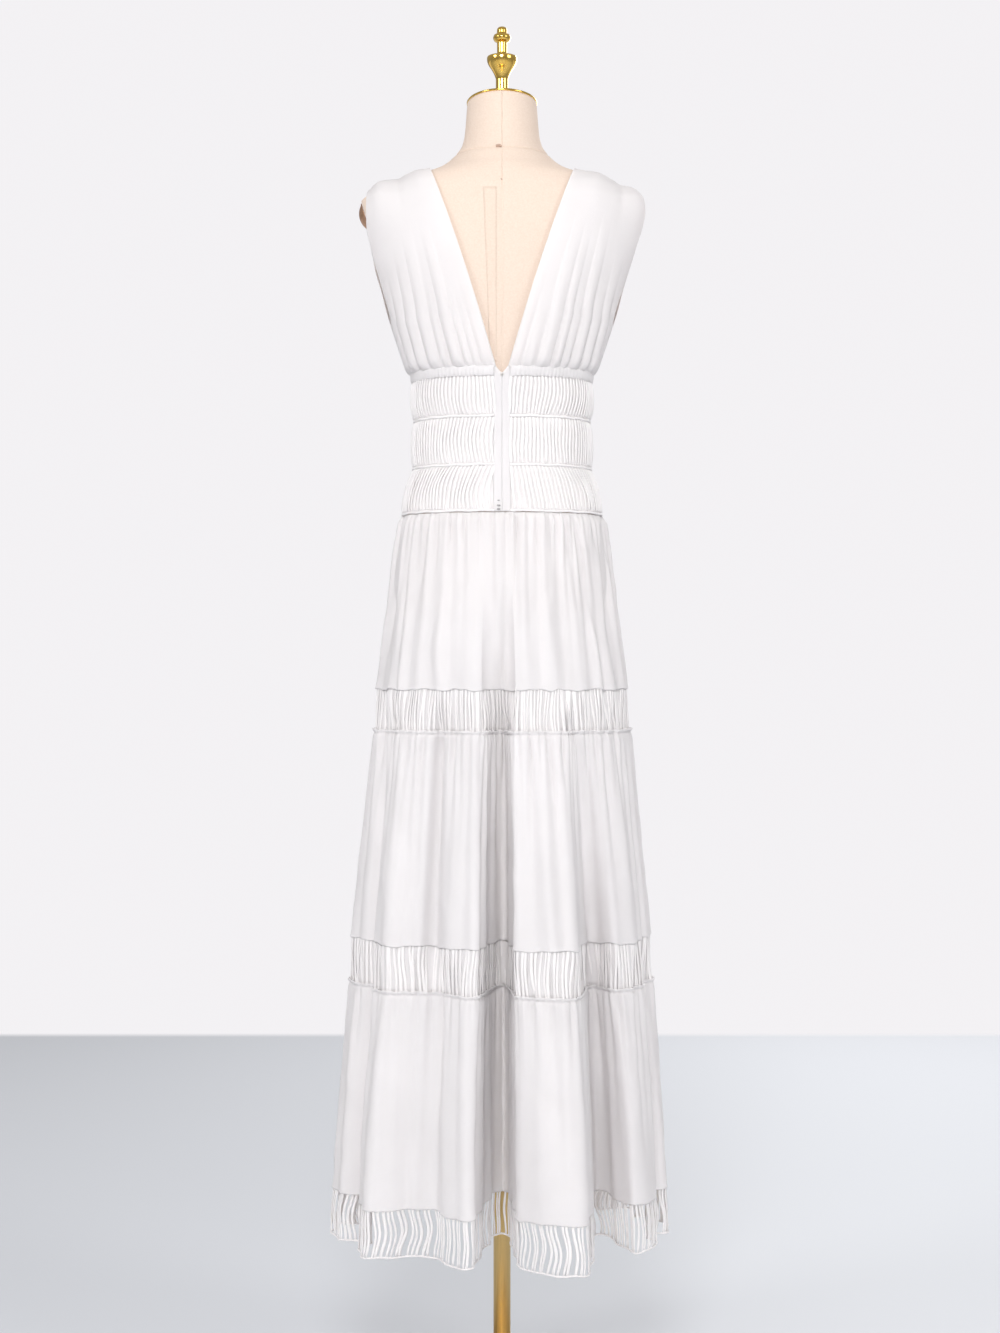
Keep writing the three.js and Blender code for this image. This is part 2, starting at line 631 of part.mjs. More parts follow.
// A row of openwork on the lining: plain inside, ribs raised outside, puffed between its edges.
function buildRibBand(name, foot, top) {
  const points = [];
  const faces = [];
  const gap = ZIP_HALF_WIDTH + SEAM;
  const rowOf = (z, turns, liftAt) =>
    turns.map((turn, k) => {
      points.push(waistPoint(turn, z, liftAt(k)));
      return { turn, index: points.length - 1 };
    });
  const plainTurns = (z) => waistTurns(gap, z, ON_LINING);
  const ribTurns = (z) => {
    const first = plainTurns(z)[0];
    return Array.from({ length: RIBS * 2 + 1 }, (_, k) => mix(first, 360 - first, k / (RIBS * 2)));
  };
  const low = mix(foot, top, RIB_INSET);
  const high = mix(foot, top, 1 - RIB_INSET);
  const rib = (k) => ON_LINING + CLOTH + BAND_PUFF + (k % 2 ? RIB_HEIGHT : 0);
  const edge = () => ON_LINING + CLOTH;
  const seat = () => ON_LINING;
  const rows = [
    rowOf(foot, plainTurns(foot), seat),
    rowOf(foot, plainTurns(foot), edge),
    rowOf(low, ribTurns(low), rib),
    rowOf(high, ribTurns(high), rib),
    rowOf(top, plainTurns(top), edge),
    rowOf(top, plainTurns(top), seat),
  ];
  rows.forEach((row, k) => stitch(faces, row, rows[(k + 1) % rows.length]));
  const fan = (c) => rows.map((row) => row[c < 0 ? row.length - 1 : 0].index);
  const start = fan(0);
  const end = fan(-1);
  for (let k = 1; k + 1 < rows.length; k += 1) {
    faces.push([start[0], start[k], start[k + 1]]);
    faces.push([end[0], end[k + 1], end[k]]);
  }
  addPart(name, solidOf(points, faces), LACE);
}

// A thin cord round the waist, from one side of the zip to the other.
function buildWaistCord(name, z) {
  const sides = 4;
  const lift = ON_LINING + CORD_RADIUS;
  const turns = waistTurns(ZIP_HALF_WIDTH + SEAM, z, lift);
  const rings = turns.map((turn) => {
    const middle = waistPoint(turn, z, lift);
    const facing = facingAt(sectionAt(FORM_SECTIONS, z, lift), turn);
    if (Math.abs(wrapped(turn)) < CORD_END_TURN) facing.set(0, 1, 0);
    const ring = [];
    for (let k = 0; k < sides; k += 1) {
      const angle = (k * 2 * Math.PI) / sides;
      const p = middle.clone().addScaledVector(facing, Math.cos(angle) * CORD_RADIUS);
      ring.push(p.setZ(z + Math.sin(angle) * CORD_RADIUS));
    }
    return ring;
  });
  addPart(name, ringSolid(rings), LACE);
}

// One lip of the zip's placket, on the lining between the ends of the openwork.
function buildZipLip(name, side) {
  const grid = (raised) =>
    WAIST_ROWS.map((z) =>
      ZIP_LIP.map(({ x, thick }) => {
        const section = sectionAt(FORM_SECTIONS, z, ON_LINING);
        const y = depthAt(section, x, 1) + (raised ? thick : 0);
        return new THREE.Vector3(side * x, y, z);
      }),
    );
  addPart(name, wallSolid(grid(true), grid(false)), WHITE);
}

function buildWaist() {
  buildWaistWall("waist_lining", WAIST_ROWS, LINING_LIFT, CLOTH, SEAM / 2, WHITE);
  const gap = ZIP_HALF_WIDTH + SEAM;
  buildWaistWall("waist_casing", [CASING_FOOT, WAIST_TOP], ON_LINING, CASING_THICK, gap, WHITE);
  const tops = [CASING_FOOT - SEAM, ...CORD_HEIGHTS.map((z) => z - CORD_RADIUS - SEAM)];
  CORD_HEIGHTS.forEach((z, k) => {
    buildRibBand(`waist_band_${k + 1}`, z + CORD_RADIUS + SEAM, tops[k]);
    buildWaistCord(`waist_cord_${k + 1}`, z);
  });
  buildZipLip("zip_lip_left", 1);
  buildZipLip("zip_lip_right", -1);
}

// The skirt

// A number of degrees as the shortest way round.
function wrapped(degrees) {
  return ((((degrees + 180) % 360) + 360) % 360) - 180;
}

// How far the large folds move the cloth at a turn and height.
function foldPush(turn, z) {
  const moved = new THREE.Vector3();
  for (const fold of FOLDS) {
    const off = wrapped(turn - fold.turn);
    const t = off / (off > 0 ? fold.left : fold.right);
    if (Math.abs(t) < 1 && z < fold.from) {
      const strength = ((fold.from - z) / (fold.from - HEM)) ** FOLD_GROWTH;
      const push = fold.push * strength * (0.5 + 0.5 * Math.cos(Math.PI * t)) ** fold.flat;
      const way = new THREE.Vector3(Math.sin(rad(fold.aim)), Math.cos(rad(fold.aim)), 0);
      moved.addScaledVector(way, push);
    }
  }
  return moved;
}

// Where the grooves of a tier's gathers lie, uneven round the body.
function grooveAt(gathers, k) {
  return ((k + 0.5 + GROOVE_WANDER * Math.sin(k * 2.4)) * 360) / gathers.count;
}

function gatherPush(gathers, turn, z) {
  const pitch = 360 / gathers.count;
  const fade = Math.exp(-(gathers.top - z) / gathers.reach);
  let push = 0;
  for (let k = 0; k < gathers.count; k += 1) {
    const t = Math.abs(wrapped(turn - grooveAt(gathers, k))) / (pitch * 0.5);
    const depth = gathers.depth * mix(Math.sin(k * 1.7), 1, GROOVE_EVENNESS);
    if (t < 1) push -= depth * fade * (0.5 + 0.5 * Math.cos(Math.PI * t));
  }
  return push;
}

function skirtPoint(turn, z, gathers) {
  const section = sectionAt(SKIRT_SECTIONS, z);
  const p = outlineAt(section, turn);
  const push = gathers ? gatherPush(gathers, turn, z) : 0;
  const at = new THREE.Vector3(p.x, p.y, z).add(foldPush(turn, z));
  return at.addScaledVector(facingAt(section, turn), push);
}

// A level line of cloth moved in by the wall, square to its own run at each corner.
function movedIn(line, first, last) {
  const square = (a, b) => new THREE.Vector3(a.y - b.y, b.x - a.x, 0).normalize();
  return line.map((point, k) => {
    if (k === 0) return point.clone().addScaledVector(first, -CLOTH);
    if (k === line.length - 1) return point.clone().addScaledVector(last, -CLOTH);
    const before = square(line[k - 1], point);
    const way = before.clone().add(square(point, line[k + 1])).normalize();
    return point.clone().addScaledVector(way, -CLOTH / Math.max(way.dot(before), MITRE_LIMIT));
  });
}

// Turns of a skirt piece's columns: its ends, the folds, the gathers and an even fill.
function skirtTurns(start, end, gathers) {
  const turns = [start, end];
  const add = (turn, room) => {
    const round = start + ((((turn - start) % 360) + 360) % 360);
    const clear = turns.every((other) => Math.abs(other - round) > room);
    if (round < end && clear) turns.push(round);
  };
  for (const fold of FOLDS) {
    const stations = Math.abs(fold.push) > DEEP_FOLD ? DEEP_STATIONS : SHALLOW_STATIONS;
    stations.forEach((t) => add(fold.turn + t * (t > 0 ? fold.left : fold.right), COLUMN_ROOM.fold));
  }
  for (let k = 0; gathers && k < gathers.count; k += 1) {
    add(grooveAt(gathers, k), COLUMN_ROOM.gather);
    add((grooveAt(gathers, k) + grooveAt(gathers, k + 1)) / 2, COLUMN_ROOM.gather);
  }
  for (let turn = start; turn < end; turn += FILL_STEP) add(turn, COLUMN_ROOM.fill);
  return turns.sort((a, b) => a - b);
}

// A piece of the skirt between two seams and two heights.
function buildSkirtPiece(name, start, end, top, foot, rows, gathers, look) {
  const half = (SEAM / 2 / SEAM_RADIUS) * (180 / Math.PI);
  const turns = skirtTurns(start + half, end - half, gathers);
  const heights = rows.map((share) => mix(top, foot, share));
  const outer = heights.map((z) => turns.map((turn) => skirtPoint(turn, z, gathers)));
  const inner = outer.map((line, k) => {
    const section = sectionAt(SKIRT_SECTIONS, heights[k]);
    return movedIn(line, facingAt(section, turns[0]), facingAt(section, turns[turns.length - 1]));
  });
  addPart(name, wallSolid(outer, inner), look);
}

function buildSkirt() {
  for (const [name, start, end] of [["back_left", 0, 90], ["front", 90, 270], ["back_right", 270, 360]]) {
    const whole = `tier_1_${name}`;
    buildSkirtPiece(whole, start, end, TIER_1_TOP, TIER_1_FOOT, TIER_1_ROWS, TIER_1_GATHERS, WHITE);
  }
  for (const [half, start, end] of [["back", -90, 90], ["front", 90, 270]]) {
    const piece = (name, top, foot, rows, gathers, look) =>
      buildSkirtPiece(`${name}_${half}`, start, end, top, foot, rows, gathers, look);
    piece("insertion_1", TIER_1_FOOT - SEAM, TIER_2_TOP + SEAM, STRIP_ROWS, null, LACE);
    piece("tier_2", TIER_2_TOP, TIER_2_FOOT, TIER_ROWS, TIER_2_GATHERS, WHITE);
    piece("insertion_2", TIER_2_FOOT - SEAM, TIER_3_TOP + SEAM, STRIP_ROWS, null, LACE);
    piece("tier_3", TIER_3_TOP, TIER_3_FOOT, TIER_ROWS, TIER_3_GATHERS, WHITE);
    piece("hem_insertion", TIER_3_FOOT - SEAM, HEM, STRIP_ROWS, null, LACE);
  }
}

buildForm();
for (const [name, side] of [["left", 1], ["right", -1]]) {
  buildBodicePanel(`bodice_back_${name}`, side, 1);
  buildBodicePanel(`bodice_front_${name}`, side, -1);
}
buildWaist();
buildSkirt();

export default part;
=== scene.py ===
import math

import bpy
import numpy as np
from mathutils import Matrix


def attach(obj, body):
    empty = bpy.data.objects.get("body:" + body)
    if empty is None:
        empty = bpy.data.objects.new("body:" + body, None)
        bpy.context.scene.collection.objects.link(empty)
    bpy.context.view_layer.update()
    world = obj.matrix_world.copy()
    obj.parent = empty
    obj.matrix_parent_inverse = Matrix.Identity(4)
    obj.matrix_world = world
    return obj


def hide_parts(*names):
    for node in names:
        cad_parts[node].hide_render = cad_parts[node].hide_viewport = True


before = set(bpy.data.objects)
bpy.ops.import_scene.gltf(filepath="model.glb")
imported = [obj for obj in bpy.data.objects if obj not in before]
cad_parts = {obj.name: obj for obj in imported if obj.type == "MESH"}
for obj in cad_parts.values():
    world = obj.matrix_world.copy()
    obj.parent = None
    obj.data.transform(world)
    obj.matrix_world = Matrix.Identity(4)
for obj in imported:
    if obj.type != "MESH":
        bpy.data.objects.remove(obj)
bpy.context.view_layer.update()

# A white maxi dress with a V back, a ribbed openwork waist and three gathered tiers, on a dress form.
# Sizes are millimetres until a mesh is made. A turn is an angle round the body in degrees:
# 0 is the centre back (+Y), 90 the wearer's left (+X), 180 the front (-Y).
MM = 0.001
BODY = "root"
SIDES = (("left", 1), ("right", -1))
UP = (0.0, 0.0, 1.0)

# Cloth
CLOTH_WALL = 1.2
CLOTH_THICK = 0.6
CLOTH_CLEARANCE = 1.6
LEAST_FILL = 0.05
SEAM = 0.3

# Heights of the dress
WAIST_TOP = 1378.0
WAIST_MIDDLE = 1280.0
CASING_FOOT = 1364.3
CORD_HEIGHTS = (1314.0, 1250.0, 1189.0)
TIER_1_TOP = 1186.8
TIER_1_FOOT = 955.0
TIER_2_TOP = 897.0
TIER_2_FOOT = 624.0
TIER_3_TOP = 561.0
TIER_3_FOOT = 287.0
HEM = 225.0

# Waist
V_POINT_Z = 1369.0
LINING_LIFT = 0.9
LINING_PUFF = 1.0
LINING_GAP = 0.4
LINING_COLUMNS = 321
LINING_ROWS = 52
LINING_FOOT = 1.4
SIDE_PUFF = 3.2
ON_LINING = LINING_LIFT + CLOTH_WALL + SEAM
WAIST_CORD_RADIUS = 1.7
WAIST_CORD_SUNK = 0.7
ZIP_HALF_WIDTH = 10.0
BESIDE_ZIP = 4.0
CASING_COLUMNS = 481
CASING_SUNK = 0.4
WAIST_RIBS = 126
RIB_WIDTHS = (3.1, 3.9)
RIB_DEPTHS = (1.5, 2.0)
RIB_LIFT = 0.4
RIB_GAP = 1.4
RIB_UNDER_CASING = 3.5
RIB_PUFF = 1.7
RIB_TUCK = 0.6
RIB_STATIONS = 15
CORD_STATIONS = 301
TUBE_SIDES = 8

# Form and stand
NECK_TOP = 1745.0
NECK_LEAN_FOOT = 1687.0
NECK_TILT = 0.17
CAP_SEAT = 1752.6
POLE_RADIUS = 11.5
BASE_RADIUS = 175.0
BASE_HEIGHT = 16.0
ARM_CUT = {"x": 173.2, "z": 1556.0, "slope": 0.295, "from": 1440.0}
ARM_PLATE = {"z": 1591.4, "radius": 25.0, "sunk": 16.6}

# Bodice
NECK_SHOULDER_X = 98.0
BACK_V_X = 8.0
NECKLINE_BOW = 3.0
FRONT_V_FOOT = 1428.0
SHOULDER_REACH = {"left": 179.0, "right": 185.0}
BODICE_RELIEF = 8.0
ARMHOLE_FOOT = 1461.0
ARMHOLE_RISE = 140.0
FRONT_ARMHOLE_SWEEP = {"foot": 1432.0, "depth": 30.0, "run": 45.0, "arch": 1560.0}
RIGHT_EDGE = {"out": 4.6, "z": 1592.0, "run": 24.0}
FOOT_TUCK = 3.0
FOOT_TUCK_RUN = 5.0
PANEL_TURN_IN = 3.0
PANEL_COLUMNS = 113
PANEL_ROWS = 84
PANEL_ROW_CROWDING = 1.5
GATHER_FADE = 1.35
SHOULDER_FOLDS_FROM = 0.62

# Columns of the tables of sections
Z, HALF, FRONT, BACK, SQUARE, SHIFT = range(6)

FORM_SECTIONS = np.array([
    (1050, 142, 103, 102, 2.2, 0),
    (1090, 145, 106, 107, 2.2, 0),
    (1140, 139, 103, 104, 2.2, 0),
    (1187, 131, 97, 97, 2.2, 0),
    (1220, 123, 92.5, 91.5, 2.2, 0),
    (1250, 116.5, 89, 87, 2.2, 0),
    (1282, 114.5, 87.5, 85.5, 2.2, 0),
    (1314, 115, 89, 87, 2.2, 0),
    (1345, 115.7, 92.6, 89.4, 2.2, 0),
    (1362, 116.3, 95, 90.8, 2.2, 0),
    (1378, 117.2, 98, 92.2, 2.2, 0),
    (1404, 124, 108, 95, 2.2, 0),
    (1434, 135, 118, 98, 2.2, 0),
    (1470, 146, 118, 101, 2.2, 0),
    (1500, 158, 112, 102, 2.2, 0),
    (1560, 184, 94, 99, 2.1, 0),
    (1597, 196, 81, 92.5, 2.0, 0),
    (1608, 193, 77, 90, 1.95, 0),
    (1618, 184, 74, 88, 1.9, 0),
    (1626, 172, 70, 86, 1.85, 0),
    (1635, 152, 66, 83, 1.8, 0),
    (1642, 132, 62, 80, 1.8, 0),
    (1647.5, 111, 58, 77, 1.8, 0),
    (1651, 99, 56, 75, 1.8, 0),
    (1656, 86, 54, 71, 1.8, 0),
    (1665, 72, 51, 65, 1.85, 0),
    (1676, 61, 48, 59, 1.95, -1),
    (1687, 54, 47, 55, 2.0, -2),
    (1702, 50.5, 46, 51, 2.0, -4),
    (1745, 47, 46, 47, 2.0, -8),
])

BODICE_SECTIONS = np.array([
    (1378, 121.5, 103, 97, 2.2, 0),
    (1400, 131, 111, 100, 2.2, 0),
    (1434, 145, 124, 103.5, 2.2, 0),
    (1461, 155, 125, 106, 2.2, 0),
    (1500, 167, 119, 107.5, 2.2, 0),
    (1560, 189, 100, 104, 2.1, 0),
    (1598, 200, 86, 97, 2.0, 0),
    (1610, 196.5, 81, 94, 1.95, 0),
    (1619, 187, 77.5, 91.5, 1.9, 0),
    (1627, 175, 73.5, 89.5, 1.85, 0),
    (1636, 155, 69.5, 86.5, 1.8, 0),
    (1643, 135, 65.5, 83.5, 1.8, 0),
    (1648.5, 114, 61.5, 80.5, 1.8, 0),
    (1652, 102, 59.5, 78.5, 1.8, 0),
    (1657, 89, 57.5, 74.5, 1.8, 0),
])

# How far out the bodice's panels reach at a height: the side seam, then the armhole's edge.
BACK_ARMHOLE = np.array([
    (1378, 124),
    (1400, 133),
    (1430, 146),
    (1446, 148),
    (1461, 151.5),
    (1501, 163),
    (1543, 174.5),
    (1573, 179.8),
    (1605, 180),
    (1624, 179),
])
FRONT_ARMHOLE = np.array([
    (1378, 124),
    (1400, 133),
    (1430, 146),
    (1461, 156),
    (1501, 167),
    (1543, 175.5),
    (1576, 180),
    (1605, 181),
    (1624, 179),
])

SKIRT_SECTIONS = np.array([
    (225, 226, 203, 205, 2, 0),
    (420, 214, 191, 193, 2, 0),
    (561, 203, 180, 181, 2, 0),
    (624, 199, 175, 176, 2, 0),
    (800, 182, 158, 160, 2, 0),
    (897, 173, 149, 151, 2, 0),
    (955, 168, 144, 146, 2, 0),
    (1075, 153, 125, 127, 2, 0),
    (1130, 146.5, 114.5, 115.5, 2.05, 0),
    (1187, 138, 104, 104, 2.2, 0),
])

# The large folds of the skirt: where each lies, the turn it pushes towards, its width to either
# side, how far it pushes at the hem, the height it starts from, and how flat its floor is.
FOLDS = (
    (-0.5, 0, 9.5, 4.8, -182, 1090, 0.5),
    (12, 8, 5, 4, 8, 900, 1),
    (27.5, 14, 11, 11, -38, 1010, 0.6),
    (36.5, 26, 4, 4, -14, 960, 0.9),
    (48, 40, 9, 8, 18, 1010, 0.8),
    (64, 60, 9, 8, -32, 1040, 0.8),
    (83, 83, 8, 8, 6, 900, 1),
    (104, 104, 8, 8, -34, 980, 0.8),
    (124, 124, 9, 9, 16, 960, 1),
    (142, 150, 7, 8, -62, 1000, 0.7),
    (160, 164, 7, 7, -26, 900, 0.9),
    (176, 177, 9, 8, 18, 1000, 1),
    (192, 190, 7, 7, -70, 1020, 0.7),
    (209, 206, 7, 7, 10, 900, 1),
    (226, 220, 8, 8, -44, 960, 0.8),
    (247, 244, 8, 8, -24, 900, 0.9),
    (284, 286, 9, 9, -26, 960, 0.8),
    (326, 360, 5, 17, -142, 905, 1.1),
    (335, 354, 20, 6.5, 56, 940, 0.6),
)
FOLD_GROWTH = 0.92

# Creases of each tier's back: the turn where each starts, how far it drifts round
# on its way down, how far below the top it starts, its length, its half width in degrees and its
# depth (below zero a trough, above zero a ridge).
TIER_1_CREASES = (
    (78, -14, 0, 232, 6.0, -9.0),
    (44, 3, 0, 150, 2.2, -4.6),
    (35, 2, 0, 118, 1.8, -3.6),
    (27, 3, 0, 170, 2.1, -5.0),
    (19, 2, 0, 96, 1.6, -3.4),
    (11, 1, 0, 140, 1.7, -4.2),
    (-6.5, -1, 0, 180, 1.7, -4.4),
    (-16, -2, 0, 70, 1.5, -2.8),
    (-25, -2, 0, 92, 1.6, -3.0),
    (-35, -5, 0, 130, 1.9, -4.4),
    (-41, -13, 0, 214, 3.0, -6.6),
    (-58, -3, 0, 90, 2.0, -3.4),
    (-76, 20, 0, 232, 5.5, -8.0),
    (60, -2, 90, 142, 3.0, 2.6),
    (31, 1, 110, 122, 3.4, 2.4),
    (-22, -2, 100, 132, 3.6, 2.2),
    (-47, -2, 120, 112, 3.0, 2.2),
)
TIER_2_CREASES = (
    (70, -2, 0, 120, 2.0, -4.0),
    (57, -1, 0, 160, 2.0, -4.4),
    (44, 1, 0, 90, 1.6, -3.2),
    (37, 1, 0, 200, 1.8, -4.0),
    (29, 1, 0, 900, 3.4, -13.0),
    (22, -1, 0, 150, 1.7, -4.2),
    (15, 0, 0, 84, 1.4, -3.0),
    (-12, -1, 0, 210, 1.8, -3.6),
    (-20, -2, 0, 120, 1.7, -4.0),
    (-27, 1, 0, 76, 1.5, -3.0),
    (-50, -2, 0, 180, 2.0, -4.6),
    (-62, 1, 0, 112, 1.8, -3.6),
    (-74, 2, 0, 150, 2.0, -4.0),
    (52, 0, 80, 190, 3.4, 2.6),
    (18, 0, 90, 180, 2.6, 1.8),
    (-16, 0, 60, 210, 3.0, 2.4),
    (-57, 0, 70, 200, 3.2, 2.4),
)
TIER_3_CREASES = (
    (72, -1, 0, 140, 1.9, -4.2),
    (61, 1, 0, 84, 1.6, -3.2),
    (52, -2, 0, 190, 2.0, -4.6),
    (40, 1, 0, 110, 1.6, -3.6),
    (24, 0, 0, 160, 1.7, -4.2),
    (17, 0, 0, 90, 1.4, -3.2),
    (-11, -1, 0, 130, 1.6, -3.8),
    (-17, -1, 0, 210, 1.9, -4.4),
    (-25, 0, 0, 100, 1.5, -3.4),
    (-49, -2, 0, 170, 1.9, -4.4),
    (-59, 1, 0, 220, 2.0, -4.0),
    (-71, 2, 0, 120, 1.8, -3.8),
    (56, 0, 70, 200, 3.2, 2.8),
    (21, 0, 80, 190, 2.6, 2.0),
    (-21, 0, 60, 210, 3.0, 2.6),
    (-54, 0, 80, 190, 3.2, 2.4),
)

# The length, width and depth of the front's creases, as shares of the back's.
FRONT_CREASES = (0.94, 1.1, 0.9)
CREASE_DEPTH = 1.2

# Troughs between the gathers of each bodice panel: the share of the way across from the neckline,
# how far up the panel the gather beside it runs, and its height over the cloth's own line.
PANEL_GATHERS = {
    "back_left": (
        (0.0, 0.5, 0.5),
        (0.10, 0.36, 0.62),
        (0.16, 0.42, 0.7),
        (0.223, 0.74, 1.0),
        (0.33, 0.5, 0.85),
        (0.416, 0.72, 1.0),
        (0.547, 0.66, 1.0),
        (0.686, 0.6, 0.9),
        (0.84, 0.5, 0.8),
    ),
    "back_right": (
        (0.0, 0.5, 0.5),
        (0.085, 0.4, 0.7),
        (0.194, 0.76, 1.0),
        (0.316, 0.72, 1.0),
        (0.40, 0.45, 0.75),
        (0.482, 0.8, 1.0),
        (0.60, 0.5, 0.9),
        (0.73, 0.62, 0.9),
        (0.87, 0.5, 0.75),
    ),
    "front_left": (
        (0.0, 0.4, 0.6),
        (0.12, 0.62, 0.9),
        (0.25, 0.5, 0.8),
        (0.36, 0.74, 1.0),
        (0.5, 0.6, 1.0),
        (0.64, 0.7, 0.9),
        (0.75, 0.46, 0.7),
        (0.87, 0.55, 0.8),
    ),
    "front_right": (
        (0.0, 0.45, 0.6),
        (0.11, 0.55, 0.8),
        (0.22, 0.7, 1.0),
        (0.37, 0.5, 0.85),
        (0.48, 0.76, 1.0),
        (0.62, 0.56, 0.9),
        (0.76, 0.66, 0.9),
        (0.88, 0.5, 0.7),
    ),
}

# Soft folds over each shoulder: the share of the way out, its width, and its height.
SHOULDER_FOLDS = {
    "left": ((0.2, 0.14, 2.4), (0.5, 0.07, -1.6), (0.8, 0.15, 5.0)),
    "right": ((0.34, 0.16, 3.4), (0.68, 0.07, -1.8), (0.9, 0.1, 2.6)),
}

# The turned knob over the neck: height over the cap and radius.
FINIAL_PROFILE = (
    (0, 13.0),
    (2, 12.6),
    (4, 11.0),
    (14, 8.3),
    (26, 8.3),
    (32, 10.0),
    (38, 13.0),
    (48, 19.0),
    (52, 20.2),
    (55, 20.4),
    (57.4, 19.6),
    (58.8, 14.0),
    (60, 8.0),
    (63, 6.7),
    (76, 6.7),
    (79, 10.5),
    (83, 12.0),
    (87, 10.5),
    (89, 7.0),
    (93, 6.8),
    (95, 6.5),
    (97.4, 4.4),
    (98.6, 0.0),
)
BASE_PROFILE = (
    (0.0, 0.0),
    (0.0, BASE_RADIUS - 2),
    (0.6, BASE_RADIUS - 0.6),
    (2.0, BASE_RADIUS),
    (8.0, BASE_RADIUS),
    (9.8, BASE_RADIUS - 2),
    (11.0, BASE_RADIUS - 6),
    (13.0, 100.0),
    (14.0, 60.0),
    (15.2, 30.0),
    (BASE_HEIGHT, 22.0),
    (BASE_HEIGHT, 0.0),
)

# The neck's cap: height over the neck, share of the neck's size, and share of its tilt.
CAP_ROWS = (
    (SEAM, 1.0, 1.0),
    (0.8, 1.012, 1.0),
    (2.3, 1.016, 1.0),
    (3.4, 0.998, 0.97),
    (4.5, 0.93, 0.9),
    (5.6, 0.78, 0.72),
    (6.6, 0.6, 0.5),
    (7.2, 0.46, 0.25),
    (CAP_SEAT - NECK_TOP, 0.34, 0.0),
)

# The rolled rim of an arm plate: height over the cut shoulder, and distance out of the dome's foot.
PLATE_RIM = ((0.0, -0.5), (0.3, 0.5), (1.0, 0.6), (1.5, -0.2))

# Camera and stage
CAMERA_PLACE = (0.0027, 3.0, 0.985)
CAMERA_LENS = 60.0
CAMERA_SENSOR = 36.0
FLOOR_HALF = 14.0
FLOOR_Z = -0.0005
FLOOR_LINE_Y = -2.94
FLOOR_LINE_SOFTNESS = 0.03
FLOOR_TONE = (0.7, 0.715, 0.75)
WALL_TONE = (0.9, 0.884, 0.903)
SKY_LOW = (0.21, 0.21, 0.214)
SKY_HIGH = (0.47, 0.47, 0.478)

# Round lights: name, place, what each points at, width and power.
LIGHTS = (
    ("front", (0.2, 3.6, 2.7), (0, 0, 1.2), 1.2, 85.0),
    ("key", (2.8, 2.0, 2.7), (0, 0, 1.1), 1.2, 33.0),
    ("fill", (-2.9, 2.0, 2.5), (0, 0, 1.1), 1.5, 31.0),
    ("far_side", (-1.4, -3.4, 2.4), (0, 0, 1.0), 2.4, 66.0),
)


# Shared sums


def mix(a, b, t):
    return a + (b - a) * t


def smooth_step(t):
    t = np.clip(t, 0.0, 1.0)
    return t * t * (3 - 2 * t)


def wrapped(degrees):
    """Degrees as the shortest way round."""
    return (degrees + 180.0) % 360.0 - 180.0


def curve_at(table, column, z):
    """A column of a table at heights z, on a smooth curve through its rows."""
    heights = table[:, Z]
    values = table[:, column]
    z = np.clip(np.asarray(z, float), heights[0], heights[-1])
    k = np.clip(np.searchsorted(heights, z, side="right") - 1, 0, len(heights) - 2)
    steps = np.diff(heights)
    slopes = np.diff(values) / steps
    under = np.concatenate([slopes[:1], slopes])
    over = np.concatenate([slopes, slopes[-1:]])
    agree = under * over > 0
    rise = np.where(agree, 2 * under * over / np.where(agree, under + over, 1), 0)
    t = (z - heights[k]) / steps[k]
    near = (1 + 2 * t) * (1 - t) ** 2 * values[k] + t * (1 - t) ** 2 * rise[k] * steps[k]
    far = t * t * (3 - 2 * t) * values[k + 1] + t * t * (t - 1) * rise[k + 1] * steps[k]
    return near + far


def outline_at(table, z, turn, lift=0.0):
    """The point of a section at a height and a turn, as x and y."""
    s = np.sin(np.radians(turn))
    c = np.cos(np.radians(turn))
    power = 2 / curve_at(table, SQUARE, z)
    depth = np.where(c > 0, curve_at(table, BACK, z), curve_at(table, FRONT, z)) + lift
    x = (curve_at(table, HALF, z) + lift) * np.sign(s) * np.abs(s) ** power
    y = curve_at(table, SHIFT, z) + depth * np.sign(c) * np.abs(c) ** power
    return x, y


def facing_at(table, z, turn, lift=0.0):
    """The level direction that faces out of a section, as x and y."""
    before_x, before_y = outline_at(table, z, turn - 0.4, lift)
    after_x, after_y = outline_at(table, z, turn + 0.4, lift)
    x = before_y - after_y
    y = after_x - before_x
    length = np.hypot(x, y)
    return x / length, y / length


def depth_at(table, z, x, face, lift=0.0):
    """The depth of a section at a width, on the back (1) or the front (-1)."""
    square = curve_at(table, SQUARE, z)
    depth = curve_at(table, BACK if face > 0 else FRONT, z) + lift
    share = np.clip(np.abs(x) / (curve_at(table, HALF, z) + lift), 0, 1) ** square
    return face * depth * (1 - share) ** (1 / square)


def fill_at(table, x, y, z, lift=0.0):
    """How far out of a section points lie: under 1 inside it, 1 on it."""
    square = curve_at(table, SQUARE, z)
    middle = curve_at(table, SHIFT, z)
    depth = np.where(y > middle, curve_at(table, BACK, z), curve_at(table, FRONT, z)) + lift
    half = curve_at(table, HALF, z) + lift
    return (np.abs(x) / half) ** square + (np.abs(y - middle) / depth) ** square


def clear_of_form(points, lift):
    """Points moved out level where they would lie under the form's surface raised by a lift."""
    x, y, z = np.moveaxis(points, -1, 0)
    fill = fill_at(FORM_SECTIONS, x, y, z, lift)
    inside = (fill < 1) & (z > FORM_SECTIONS[0, Z])
    power = -1 / curve_at(FORM_SECTIONS, SQUARE, z)
    grow = np.where(inside, np.maximum(fill, LEAST_FILL) ** power, 1.0)
    middle = curve_at(FORM_SECTIONS, SHIFT, z)
    return np.stack([x * grow, middle + (y - middle) * grow, z], axis=-1)


